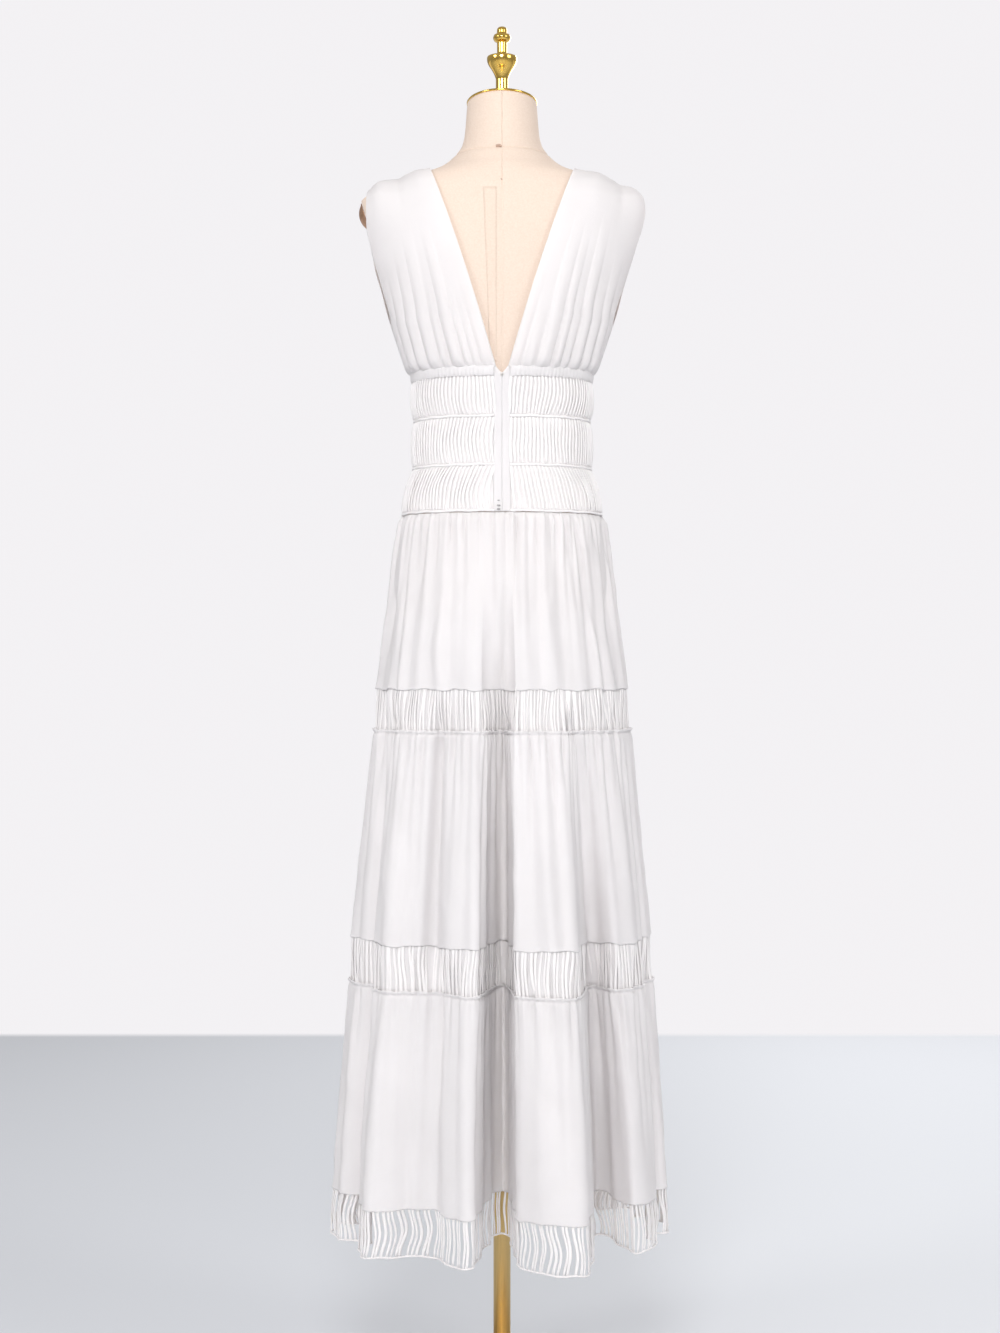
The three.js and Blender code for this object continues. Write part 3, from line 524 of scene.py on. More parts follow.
def uneven_wave(share, cycles, seed):
    """A wave of so many crests round the body, uneven in spacing and height, from -1 to 1."""
    turn = 2 * np.pi * share
    drift = 0.9 * np.sin(3 * turn + seed) + 0.7 * np.sin(7 * turn + 2.3 * seed)
    drift = drift + 0.5 * np.sin(13 * turn + 1.7 * seed)
    height = 0.74 + 0.26 * np.sin(5 * turn + 3.1 * seed) * np.sin(11 * turn + seed)
    return np.sin(cycles * turn + drift) * height


def broad_ridges(wave):
    """A wave with round ridges and narrow troughs, as gathered cloth has."""
    return 2 * np.clip((wave + 1) / 2, 0, 1) ** 0.6 - 1


def unit(vectors):
    return vectors / np.linalg.norm(vectors, axis=-1, keepdims=True)


def run_along(points):
    """How far each point of an open line lies along it."""
    return np.concatenate([[0], np.cumsum(np.linalg.norm(np.diff(points, axis=0), axis=1))])


def eased(points, steps, corners=False):
    """A smooth curve through points in even steps along it, with the points themselves if asked."""
    rows = np.array(points, float)
    run = run_along(rows)
    at = np.linspace(0, run[-1], steps)
    if corners:
        at = np.unique(np.concatenate([at, run]))
    table = np.column_stack([run, rows])
    return np.stack([curve_at(table, k + 1, at) for k in range(rows.shape[1])], axis=-1)


# Making meshes


def grid_faces(rows, columns, closed):
    """Quads of a grid of points, row by row. A closed grid joins its last column to its first."""
    here = np.arange(rows * columns).reshape(rows, columns)
    beside = np.roll(here, -1, axis=1)
    if not closed:
        here = here[:, :-1]
        beside = beside[:, :-1]
    quads = np.stack([here[:-1], beside[:-1], beside[1:], here[1:]], axis=-1)
    return quads.reshape(-1, 4).tolist()


def capped_faces(grid):
    """Faces of a grid of closed rings, with a flat face over its first ring and its last."""
    count, sides = grid.shape[:2]
    rings = np.arange(count * sides).reshape(count, sides)
    return [*grid_faces(count, sides, True), rings[0, ::-1].tolist(), rings[-1].tolist()]


def add_piece(name, points, faces, material, nodes=()):
    """A new piece of the object that rides on the only body and stands for CAD nodes."""
    mesh = bpy.data.meshes.new(name)
    mesh.from_pydata((np.asarray(points).reshape(-1, 3) * MM).tolist(), [], faces)
    mesh.polygons.foreach_set("use_smooth", np.ones(len(mesh.polygons), bool))
    mesh.materials.append(material)
    mesh.validate()
    mesh.update()
    piece = bpy.data.objects.new(name, mesh)
    bpy.context.scene.collection.objects.link(piece)
    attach(piece, BODY)
    if nodes:
        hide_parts(*nodes)
    return piece


def thicken(piece, thick=CLOTH_THICK):
    """Gives a sheet of cloth its thickness, half to either side."""
    wall = piece.modifiers.new("cloth", "SOLIDIFY")
    wall.thickness = thick * MM
    wall.offset = 0.0
    return piece


def add_cloth(name, grid, material, nodes=(), closed=False):
    """A sheet of cloth on a grid of points."""
    faces = grid_faces(*grid.shape[:2], closed)
    return thicken(add_piece(name, grid, faces, material, nodes))


def tube_faces(count, stations, sides, closed=False):
    """Faces of tubes: quads along each, and a flat end at both ends unless the tube is a loop."""
    index = np.arange(count * stations * sides).reshape(count, stations, sides)
    beside = np.roll(index, -1, axis=2)
    ahead = np.roll(index, -1, axis=1)
    beside_ahead = np.roll(beside, -1, axis=1)
    quads = np.stack([index, beside, beside_ahead, ahead], axis=-1)
    if not closed:
        quads = quads[:, :-1]
    faces = quads.reshape(-1, 4).tolist()
    if not closed:
        faces += index[:, 0, ::-1].tolist()
        faces += index[:, -1, :].tolist()
    return faces


def add_tubes(name, paths, side, out, size, sides, material, nodes=(), closed=False):
    """Tubes along paths, of a width and a depth. The arrays are paths, stations and x, y, z."""
    angle = np.arange(sides) * 2 * np.pi / sides
    width, depth = [np.broadcast_to(s, paths.shape[:2])[..., None, None] for s in size]
    across = side[:, :, None, :] * np.cos(angle)[None, None, :, None] * width / 2
    through = out[:, :, None, :] * np.sin(angle)[None, None, :, None] * depth / 2
    rings = paths[:, :, None, :] + across + through
    faces = tube_faces(*rings.shape[:3], closed)
    return add_piece(name, rings, faces, material, nodes)


def lathe_points(profile, sides, z, y=0.0):
    """Rings of a turned shape round an upright axis, from its (height, radius) rows."""
    rows = np.array(profile, float)
    angle = np.arange(sides) * 2 * np.pi / sides
    radius = np.maximum(rows[:, 1], 0.01)[:, None]
    x = radius * np.sin(angle)
    depth = y + radius * np.cos(angle)
    height = np.broadcast_to(z + rows[:, :1], x.shape)
    return np.stack([x, depth, height], axis=-1)


# Materials


class Shading:
    """The nodes of a material or a world, with short ways to add them and join them."""

    def __init__(self, owner):
        owner.use_nodes = True
        self.owner = owner
        self.nodes = owner.node_tree.nodes
        self.links = owner.node_tree.links

    def set(self, node, inputs):
        """Sets a node's inputs to values, or joins them to the outputs of other nodes."""
        for name, value in inputs.items():
            if isinstance(value, bpy.types.NodeSocket):
                self.links.new(value, node.inputs[name])
            else:
                node.inputs[name].default_value = value
        return node

    def add(self, kind, inputs=(), output=0):
        """A new node's output."""
        return self.set(self.nodes.new(kind), dict(inputs)).outputs[output]

    def place(self, stretch=(1, 1, 1)):
        """The place on the piece in metres, stretched for grain that runs one way."""
        place = self.add("ShaderNodeTexCoord", output="Object")
        return self.add("ShaderNodeMapping", {"Scale": stretch, "Vector": place})

    def noise(self, place, scale, detail=2.0):
        return self.add("ShaderNodeTexNoise", {"Scale": scale, "Detail": detail, "Vector": place})

    def ramp(self, value, low, high, start=0.3, end=0.7):
        """Runs a value between two colours."""
        node = self.set(self.nodes.new("ShaderNodeValToRGB"), {"Fac": value})
        for stop, place, colour in zip(node.color_ramp.elements, (start, end), (low, high)):
            stop.position = place
            stop.color = (*colour, 1)
        return node.outputs["Color"]

    def bump(self, height, distance, strength, under=None):
        inputs = {"Distance": distance, "Strength": strength, "Height": height}
        if under is not None:
            inputs["Normal"] = under
        return self.add("ShaderNodeBump", inputs)

    def blend(self, share, first, second):
        return self.add("ShaderNodeMixShader", {"Fac": share, 1: first, 2: second})

    def surface(self, inputs):
        """Sets the shader that a new material has."""
        return self.set(self.nodes["Principled BSDF"], inputs).outputs["BSDF"]

    def finish(self, shader):
        """Shows another shader in place of that one."""
        self.set(self.nodes["Material Output"], {"Surface": shader})
        return self.owner


def cloth_material(name, low, high, through, sheer):
    """White crepe, a fine pebbled weave over soft crumples, that glows through and is a little sheer."""
    shading = Shading(bpy.data.materials.new(name))
    place = shading.place()
    tone = shading.ramp(shading.noise(place, 14.0), low, high)
    crumple = shading.bump(shading.noise(place, 90.0, 3.0), 0.0006, 0.35)
    crepe = shading.bump(shading.noise(place, 1100.0), 0.0002, 0.5, crumple)
    face = shading.surface({
        "Base Color": tone,
        "Roughness": 0.88,
        "Specular IOR Level": 0.25,
        "Sheen Weight": 0.12,
        "Sheen Roughness": 0.5,
        "Normal": crepe,
    })
    glow = shading.add("ShaderNodeBsdfTranslucent", {"Color": tone, "Normal": crepe})
    lit = shading.blend(through, face, glow)
    return shading.finish(shading.blend(sheer, lit, shading.add("ShaderNodeBsdfTransparent")))


def linen_material(name, low, high):
    """Linen, with threads over and under each other along the piece's own axes."""
    shading = Shading(bpy.data.materials.new(name))
    place = shading.place()
    threads = {"Scale": 330.0, "Distortion": 1.5, "Detail": 1.0, "Vector": place}
    bands = []
    for way in ("X", "Z"):
        wave = shading.nodes.new("ShaderNodeTexWave")
        wave.bands_direction = way
        bands.append(shading.set(wave, threads).outputs["Fac"])
    crossed = shading.nodes.new("ShaderNodeMath")
    crossed.operation = "MULTIPLY"
    weave = shading.set(crossed, dict(enumerate(bands))).outputs["Value"]
    slub = shading.bump(shading.noise(place, 260.0, 3.0), 0.0004, 0.4)
    shading.surface({
        "Base Color": shading.ramp(shading.noise(place, 420.0, 4.0), low, high),
        "Roughness": 0.9,
        "Specular IOR Level": 0.2,
        "Sheen Weight": 0.1,
        "Normal": shading.bump(weave, 0.0002, 0.35, slub),
    })
    return shading.owner


def metal_material(name, low, high, rough, stretch, grain, relief):
    """Metal with a grain: rough is the lowest and highest roughness, stretch the grain's run."""
    shading = Shading(bpy.data.materials.new(name))
    streaks = shading.noise(shading.place(stretch), grain, 3.0)
    spread = {"To Min": rough[0], "To Max": rough[1], "Value": streaks}
    shading.surface({
        "Metallic": 1.0,
        "Base Color": shading.ramp(streaks, low, high),
        "Roughness": shading.add("ShaderNodeMapRange", spread),
        "Normal": shading.bump(streaks, 0.0002, relief),
    })
    return shading.owner


def thread_material(name, low, high):
    shading = Shading(bpy.data.materials.new(name))
    place = shading.place()
    shading.surface({
        "Base Color": shading.ramp(shading.noise(place, 400.0), low, high),
        "Roughness": 0.8,
        "Normal": shading.bump(shading.noise(place, 1800.0), 0.0002, 0.5),
    })
    return shading.owner


def floor_material():
    """A pale floor that gives way to the pale wall's tone past a straight line."""
    shading = Shading(bpy.data.materials.new("pale_floor"))
    place = shading.add("ShaderNodeTexCoord", output="Object")
    past = shading.add("ShaderNodeMapRange", {
        "From Min": FLOOR_LINE_Y - FLOOR_LINE_SOFTNESS,
        "From Max": FLOOR_LINE_Y + FLOOR_LINE_SOFTNESS,
        "To Min": 1.0,
        "To Max": 0.0,
        "Value": shading.add("ShaderNodeSeparateXYZ", {"Vector": place}, "Y"),
    })
    floor = shading.surface({"Base Color": (*FLOOR_TONE, 1), "Roughness": 0.6})
    wall = shading.add("ShaderNodeEmission", {"Color": (*WALL_TONE, 1)})
    return shading.finish(shading.blend(past, floor, wall))


CREPE = cloth_material("white_crepe", (0.942, 0.918, 0.919), (0.972, 0.948, 0.95), 0.2, 0.2)
OPENWORK = cloth_material("white_openwork", (0.87, 0.842, 0.838), (0.91, 0.881, 0.877), 0.0, 0.0)
LINEN = linen_material("cream_linen", (0.768, 0.62, 0.512), (0.81, 0.672, 0.57))
TAPE = linen_material("cream_tape", (0.762, 0.61, 0.502), (0.804, 0.662, 0.559))
POLISHED = metal_material(
    "polished_brass", (0.80, 0.50, 0.10), (0.88, 0.60, 0.16), (0.10, 0.2), (1, 1, 1), 60.0, 0.02
)
BRUSHED = metal_material(
    "brushed_brass", (0.55, 0.39, 0.165), (0.69, 0.51, 0.24), (0.34, 0.5), (1, 1, 0.02), 900.0, 0.1
)
COPPER = metal_material(
    "satin_copper", (0.52, 0.30, 0.19), (0.64, 0.40, 0.27), (0.35, 0.5), (1, 1, 1), 300.0, 0.08
)
STEEL = metal_material(
    "hook_wire", (0.62, 0.60, 0.56), (0.72, 0.70, 0.66), (0.25, 0.35), (1, 1, 1), 300.0, 0.05
)
# Dark grey for the small tacks at the zip's foot, against the white of the dress.
DARK_GREY_TACKS = thread_material("dark_grey_tacks", (0.30, 0.29, 0.29), (0.42, 0.41, 0.41))
BROWN_THREAD = thread_material("brown_thread", (0.42, 0.28, 0.21), (0.58, 0.42, 0.33))


# The form and its stand

FORM_TURNS = np.unique(np.concatenate([
    np.linspace(0, 360, 121)[:-1],
    np.array([0.25, 0.5, 0.9, 359.1, 359.5, 359.75]),
]))
NECK_SEAM_Z = 1673.0
NECK_SEAM_WIDTH = 1.1
NECK_SEAM_DEPTH = 1.7
FORM_SEAM_DEPTH = 1.0
FORM_SEAM_TURN = 0.35
TORSO_ROWS = np.concatenate([
    np.linspace(1050, 1590, 46),
    np.linspace(1596, 1668, 38),
    NECK_SEAM_Z + np.array([-2.4, -1.3, -0.6, 0.0, 0.6, 1.3, 2.4]),
    np.linspace(1678, NECK_TOP, 22),
])
TAPE_ROWS = np.linspace(1614, 1384, 60)[:, None]
TAPE_INNER = 7.0
TAPE_OUTER = (16.0, 25.0)
TAPE_LIFT = 0.05
TAPE_THICK = 0.1
FINIAL_STEPS = 90
FINIAL_SIDES = 56
PLATE_SIDES = 72
POLE_SIDES = 48
POLE_BEVEL = {"in": 0.4, "up": 0.5}
BASE_SIDES = 128


def arm_cut(z):
    """The width at which a shoulder of the form is cut off."""
    return ARM_CUT["x"] + (z - ARM_CUT["z"]) * ARM_CUT["slope"]


def form_ring(z, lift=0.0, shrink=1.0, tilt=1.0):
    """A level ring of the form, leaning back at the neck."""
    x, y = outline_at(FORM_SECTIONS, z, FORM_TURNS)
    shift = float(curve_at(FORM_SECTIONS, SHIFT, z))
    if z > ARM_CUT["from"]:
        x = np.clip(x, -arm_cut(z), arm_cut(z))
    x = x * shrink
    y = shift + (y - shift) * shrink
    lean = NECK_TILT * tilt * np.clip((z - NECK_LEAN_FOOT) / (NECK_TOP - NECK_LEAN_FOOT), 0, 1)
    return np.stack([x, y, z + lift + lean * (y - shift)], axis=-1)


def build_torso():
    """The linen torso, with a groove down the centre back and round the foot of the neck."""
    down_back = FORM_SEAM_DEPTH * np.exp(-((wrapped(FORM_TURNS) / FORM_SEAM_TURN) ** 2))
    rings = []
    for z in TORSO_ROWS[::-1]:
        ring = form_ring(z)
        round_neck = NECK_SEAM_DEPTH * np.exp(-(((z - NECK_SEAM_Z) / NECK_SEAM_WIDTH) ** 2))
        seam = np.maximum(down_back, round_neck)
        ring[:, :2] *= (1 - seam / np.linalg.norm(ring[:, :2], axis=1))[:, None]
        rings.append(ring)
    grid = np.array(rings)
    return add_piece("linen_torso", grid, capped_faces(grid), LINEN, ["form_torso"])


def build_tape():
    """A faint woven tape down the back of the form."""
    across = np.linspace(0, 1, 7)
    z = TAPE_ROWS + 0 * across
    x = mix(TAPE_INNER, mix(*TAPE_OUTER, np.linspace(1, 0, len(z))[:, None]), across)
    crown = TAPE_THICK * np.sin(np.pi * across) ** 0.4
    y = depth_at(FORM_SECTIONS, z, x, 1) + TAPE_LIFT + crown
    grid = np.stack([x, y, z], axis=-1)[:, ::-1]
    piece = add_piece("form_tape", grid, grid_faces(*z.shape, False), TAPE)
    return thicken(piece, TAPE_THICK)


def build_turned(name, profile, sides, z, y, material, node):
    grid = lathe_points(profile, sides, z, y)[::-1]
    return add_piece(name, grid, capped_faces(grid), material, [node])


def build_cap_and_finial():
    grid = np.array([form_ring(NECK_TOP, *row) for row in CAP_ROWS])[::-1]
    add_piece("neck_cap", grid, capped_faces(grid), POLISHED, ["form_neck_cap"])
    middle = float(curve_at(FORM_SECTIONS, SHIFT, NECK_TOP))
    profile = eased(FINIAL_PROFILE, FINIAL_STEPS, corners=True)
    seat = CAP_SEAT + SEAM
    build_turned("turned_finial", profile, FINIAL_SIDES, seat, middle, POLISHED, "form_finial")


def build_arm_plates():
    """Domed plates on the cut shoulders, each a cap of a ball with a thin rolled rim."""
    radius = ARM_PLATE["radius"]
    sunk = ARM_PLATE["sunk"]
    opening = math.acos(sunk / radius)
    rim = radius * math.sin(opening)
    dome = [(radius * math.cos(a) - sunk, radius * math.sin(a)) for a in np.linspace(opening, 0, 16)]
    profile = [(0.0, 0.0), *[(up, rim + out) for up, out in PLATE_RIM], *dome[2:]]
    deep, tall, out = np.moveaxis(lathe_points(profile, PLATE_SIDES, SEAM), -1, 0)
    lean = math.atan(ARM_CUT["slope"])
    x = arm_cut(ARM_PLATE["z"]) + out * math.cos(lean) + tall * math.sin(lean)
    z = ARM_PLATE["z"] - out * math.sin(lean) + tall * math.cos(lean)
    for name, side in SIDES:
        grid = np.stack([side * x, side * deep, z], axis=-1)[::-1]
        faces = grid_faces(*grid.shape[:2], True)
        add_piece(f"arm_plate_{name}", grid, faces, COPPER, [f"form_arm_plate_{name}"])


def build_stand():
    foot = BASE_HEIGHT + SEAM
    length = float(FORM_SECTIONS[0, Z]) - SEAM - foot
    end = POLE_RADIUS - POLE_BEVEL["in"]
    profile = (
        (0.0, 0.0),
        (0.0, end),
        (POLE_BEVEL["up"], POLE_RADIUS),
        (length - POLE_BEVEL["up"], POLE_RADIUS),
        (length, end),
        (length, 0.0),
    )
    build_turned("brass_pole", profile, POLE_SIDES, foot, 0.0, BRUSHED, "stand_pole")
    build_turned("round_base", BASE_PROFILE, BASE_SIDES, 0.0, 0.0, BRUSHED, "stand_base")


# The bodice

RIDGE_HEIGHTS = np.linspace(1600, 1657, 400)
RIDGE_WIDTHS = curve_at(BODICE_SECTIONS, HALF, RIDGE_HEIGHTS)
FACING_STEP = 0.4
LEAST_DEPTH = 0.2


def ridge_at(x):
    """The height of the shoulder ridge of the cloth at a width."""
    return np.interp(x, RIDGE_WIDTHS[::-1], RIDGE_HEIGHTS[::-1])


def bodice_facing(x, y, z):
    """How the bodice's cloth faces at points of it."""
    slopes = []
    for across, deep, up in np.eye(3) * FACING_STEP:
        ahead = fill_at(BODICE_SECTIONS, x + across, y + deep, z + up)
        slopes.append(ahead - fill_at(BODICE_SECTIONS, x - across, y - deep, z - up))
    return unit(np.stack(slopes, axis=-1))


def neckline_at(face, z, top):
    """The inner edge of a panel at a height: up the V to the shoulder."""
    if face > 0:
        s = (z - WAIST_TOP) / (top - WAIST_TOP)
        return mix(BACK_V_X, NECK_SHOULDER_X, s) - NECKLINE_BOW * np.sin(np.pi * np.clip(s, 0, 1))
    return np.maximum(SEAM / 2, (z - FRONT_V_FOOT) / (top - FRONT_V_FOOT) * NECK_SHOULDER_X)


def panel_relief(name, side_name, u, s):
    """Height of the gathers over a panel's own surface, and of the soft folds on its shoulder."""
    rows = PANEL_GATHERS[name]
    edges = [row[0] for row in rows] + [1.0]
    relief = np.zeros(np.broadcast(u, s).shape)
    for k, (start, length, height) in enumerate(rows):
        width = edges[k + 1] - start
        t = np.clip((u - start) / width, 0, 1)
        bow = np.sin(np.pi * t) ** 0.75 * min(1.0, 0.35 + width / 0.15)
        fade = np.clip(1 - s / length, 0, 1) ** GATHER_FADE
        relief = relief + bow * fade * height * BODICE_RELIEF
    fine = broad_ridges(uneven_wave(u, 21, len(name))) * np.exp(-s / 0.07) * 0.7
    tuck = np.clip(0.1 + s / 0.05, 0, 1)
    run = smooth_step((s - SHOULDER_FOLDS_FROM) / (1 - SHOULDER_FOLDS_FROM))
    for middle, width, height in SHOULDER_FOLDS[side_name]:
        relief = relief + height * np.exp(-(((u - middle) / width) ** 2)) * run
    return relief * tuck + fine


def armhole_at(face, side, z, reach):
    """The outer edge of a panel at a height: up the side seam, then round the armhole."""
    half = curve_at(BODICE_SECTIONS, HALF, z)
    fuller = RIGHT_EDGE["out"] * np.exp(-(((z - RIGHT_EDGE["z"]) / RIGHT_EDGE["run"]) ** 2))
    fuller = fuller if side < 0 else 0.0
    rise = np.clip((z - ARMHOLE_FOOT) / ARMHOLE_RISE, 0, 1)
    widen = mix(1.0, reach / SHOULDER_REACH["left"], rise)
    if face > 0:
        return np.minimum(curve_at(BACK_ARMHOLE, 1, z) * widen + fuller, half)
    sweep = FRONT_ARMHOLE_SWEEP
    closing = np.clip((z - sweep["arch"]) / (ridge_at(reach) - sweep["arch"]), 0, 1)
    swept = sweep["depth"] * (1 - np.exp(-np.clip(z - sweep["foot"], 0, None) / sweep["run"]))
    square = curve_at(BODICE_SECTIONS, SQUARE, z)
    share = (swept * np.sqrt(1 - closing**2) / curve_at(BODICE_SECTIONS, FRONT, z)) ** square
    return np.minimum(curve_at(FRONT_ARMHOLE, 1, z) * widen + fuller, half * (1 - share) ** (1 / square))


def build_bodice_panel(face_name, side_name):
    face = 1 if face_name == "back" else -1
    side = 1 if side_name == "left" else -1
    reach = SHOULDER_REACH[side_name]
    foot = WAIST_TOP - PANEL_TURN_IN
    u = np.linspace(0, 1, PANEL_COLUMNS)[None, :]
    s = (1 - (1 - np.linspace(0, 1, PANEL_ROWS)) ** PANEL_ROW_CROWDING)[:, None]
    neck_top = ridge_at(NECK_SHOULDER_X)
    neck_x = neckline_at(face, mix(foot, neck_top, s), neck_top)
    arm_x = armhole_at(face, side, mix(foot, ridge_at(reach), s), reach)
    z = mix(foot, ridge_at(mix(NECK_SHOULDER_X, reach, u)), s)
    half = curve_at(BODICE_SECTIONS, HALF, z)
    across = mix(np.sin(np.radians(90 * u)), u, s)
    x = np.minimum(mix(neck_x, arm_x, across), half)
    y = depth_at(BODICE_SECTIONS, z, x, face)
    facing = bodice_facing(x, np.where(np.abs(y) < LEAST_DEPTH, face * LEAST_DEPTH, y), z)
    facing[0, :, 2] = 0
    facing[-1] = (0, 0, 1)
    facing = unit(facing)
    name = f"{face_name}_{side_name}"
    lift = panel_relief(name, side_name, u, s) + CLOTH_WALL / 2
    lift = lift - FOOT_TUCK * np.exp(-(z - foot) / FOOT_TUCK_RUN)
    grid = np.stack([x, y, z], axis=-1) + facing * lift[..., None]
    grid[..., 0] *= side
    if side * face > 0:
        grid = grid[:, ::-1]
    return add_cloth(f"cloth_bodice_{name}", grid[::-1], CREPE, [f"bodice_{name}"])


# The waist


def waist_points(turn, z, lift):
    """Points on the form's section, lifted off it."""
    x, y = outline_at(FORM_SECTIONS, z, turn, lift)
    return np.stack([x, y, np.broadcast_to(z, x.shape)], axis=-1)


def waist_turns(count, gap, z=WAIST_MIDDLE):
    """Turns evenly spaced round the waist from one side of the zip to the other."""
    fine = np.linspace(0, 360, 3601)
    run = run_along(waist_points(fine, z, ON_LINING))
    return np.interp(np.linspace(gap, run[-1] - gap, count), run, fine)


def waist_frame(turn, z, lift):
    """The directions out of the waist and round it at points of it."""
    out_x, out_y = facing_at(FORM_SECTIONS, z, turn, lift)
    out = np.stack([out_x, out_y, np.zeros_like(out_x)], axis=-1)
    round_it = np.stack([out_y, -out_x, np.zeros_like(out_x)], axis=-1)
    return out, round_it


def notch_top(x):
    """The height of the waist's top edge at a width: it dips to a point under the V."""
    return V_POINT_Z + (WAIST_TOP - V_POINT_Z) * np.clip(np.abs(x) / BACK_V_X, 0, 1) ** 1.3


def row_puff(z):
    """How far the waist stands out between its cords, from 0 to 1."""
    edges = np.array([TIER_1_TOP, *CORD_HEIGHTS[::-1], CASING_FOOT, WAIST_TOP])
    k = np.clip(np.searchsorted(edges, z) - 1, 0, len(edges) - 2)
    part = (z - edges[k]) / (edges[k + 1] - edges[k])
    between = (k > 0) & (k < len(edges) - 2)
    return np.where(between, np.sin(np.pi * np.clip(part, 0, 1)) ** 0.6, 0.0)


def side_puff(turn):
    """How much more a row stands out at the sides of the waist than at its back and front."""
    return SIDE_PUFF * np.abs(np.sin(np.radians(turn))) ** 3


# A section of the casing: height over the waist's top, and distance out of the lining.
CASING_SECTION = np.array([
    (1.0, 1.8), (0.9, 2.8), (0.0, 3.5), (-2.0, 3.9), (-4.2, 4.0), (-6.4, 3.8), (-8.4, 3.5),
    (-10.2, 3.0), (-11.6, 2.4), (-12.6, 1.6),
])


def build_lining():
    turn = waist_turns(LINING_COLUMNS, LINING_GAP)[None, :]
    on_back = np.cos(np.radians(turn)) > 0
    x, _ = outline_at(FORM_SECTIONS, WAIST_TOP, turn, LINING_LIFT)
    top = np.where(on_back, notch_top(x), WAIST_TOP) - 1
    z = mix(top, TIER_1_TOP + LINING_FOOT, np.linspace(0, 1, LINING_ROWS)[:, None])
    beside_zip = np.where(on_back, smooth_step((np.abs(x) - ZIP_HALF_WIDTH) / BESIDE_ZIP), 1.0)
    puff = (LINING_PUFF + side_puff(turn)) * row_puff(z) * beside_zip
    grid = waist_points(turn, z, LINING_LIFT + CLOTH_WALL / 2 + puff)
    return add_cloth("cloth_waist_lining", grid, OPENWORK, ["waist_lining"])


def build_casing():
    """The plain strip along the top of the waist, drawn up in fine puckers."""
    turn = waist_turns(CASING_COLUMNS, ZIP_HALF_WIDTH + SEAM)[None, :]
    share = np.linspace(0, 1, turn.shape[1])[None, :]
    pucker = broad_ridges(uneven_wave(share, 118, 1.3)) * 0.9 + uneven_wave(share, 37, 4.1) * 0.4
    strength = np.linspace(0.15, 1.0, len(CASING_SECTION))[:, None]
    z = WAIST_TOP + CASING_SECTION[:, :1] + 0.5 * uneven_wave(share, 29, 2.2)
    lift = ON_LINING + CASING_SECTION[:, 1:] - CASING_SUNK + pucker * strength
    grid = waist_points(turn, z, lift)
    return add_cloth("cloth_waist_casing", grid, CREPE, ["waist_casing"])


# How the ribs of each waist row lie on the left and on the right of the zip, in millimetres away
# from it: how far a rib's foot stands out from its top, how late that happens, and how far it bows.
RIB_ROWS = (
    {"foot": (-4.0, -5.5), "late": (2.4, 1.8), "bow": (0.6, 0.4)},
    {"foot": (0.6, 0.8), "late": (1.0, 1.0), "bow": (3.6, -0.6)},
    {"foot": (7.0, 10.5), "late": (0.8, 0.9), "bow": (5.0, 2.4)},
)


def build_ribs():
    """Three rows of wavy ribs on the lining, each row pinched between two cords."""
    tops = (CASING_FOOT + RIB_UNDER_CASING, *[z - WAIST_CORD_RADIUS + RIB_TUCK for z in CORD_HEIGHTS])
    t = np.linspace(0, 1, RIB_STATIONS)[None, :]
    for k, cord_z in enumerate(CORD_HEIGHTS):
        foot = cord_z + WAIST_CORD_RADIUS - RIB_TUCK
        turn = waist_turns(WAIST_RIBS, ZIP_HALF_WIDTH + RIB_GAP, (foot + tops[k]) / 2)[:, None]
        share = turn / 360
        z = mix(tops[k], foot, t)
        left = np.sin(np.radians(turn)) > 0
        away = np.where(left, 1.0, -1.0)
        row = {name: np.where(left, *pair) for name, pair in RIB_ROWS[k].items()}
        slack = 0.85 + 0.3 * uneven_wave(share, 6, 1.1 + k)
        side_step = row["foot"] * t ** row["late"] + row["bow"] * np.sin(np.pi * t)
        side_step = side_step * away * slack * np.clip(np.abs(wrapped(turn)) / 9, 0.35, 1)
        side_step = side_step + 0.9 * np.sin(2 * np.pi * t + 5 * np.sin(4 * np.pi * share + k)) * slack
        side_step = side_step + 0.7 * uneven_wave(share * 3.7 + 0.13 * k, 41, 2.0 + k) * t
        arch = np.sin(np.pi * t) ** 0.6
        puff = arch * (1 + 0.16 * uneven_wave(share, 31, 5.0 + k))
        lift = ON_LINING + RIB_LIFT + RIB_PUFF * puff + side_puff(turn) * arch
        out, round_it = waist_frame(turn, z, lift)
        path = waist_points(turn, z, lift) + round_it * side_step[..., None]
        fullness = puff.clip(0, 1)
        width = mix(*RIB_WIDTHS, fullness) * (1 + 0.14 * uneven_wave(share, 53, 3.0))
        add_tubes(
            f"openwork_waist_{k + 1}", path, round_it, out, (width, mix(*RIB_DEPTHS, fullness)),
            TUBE_SIDES, OPENWORK, [f"waist_band_{k + 1}"],
        )


def build_waist_cords():
    """Thin cords between the rows and under the last, slightly lumpy where the ribs are caught."""
    lift = ON_LINING + WAIST_CORD_RADIUS - WAIST_CORD_SUNK
    for k, z in enumerate(CORD_HEIGHTS):
        turn = waist_turns(CORD_STATIONS, ZIP_HALF_WIDTH + SEAM, z)[None, :]
        share = turn / 360
        height = z + 0.5 * uneven_wave(share, 17, 3.0 + k)
        out, _ = waist_frame(turn, height, lift)
        size = 2 * WAIST_CORD_RADIUS * (1 + 0.1 * uneven_wave(share, 118, 1.0 + k))
        add_tubes(
            f"cord_waist_{k + 1}", waist_points(turn, height, lift), 0 * out + UP, out, (size, size),
            TUBE_SIDES, OPENWORK, [f"waist_cord_{k + 1}"],
        )


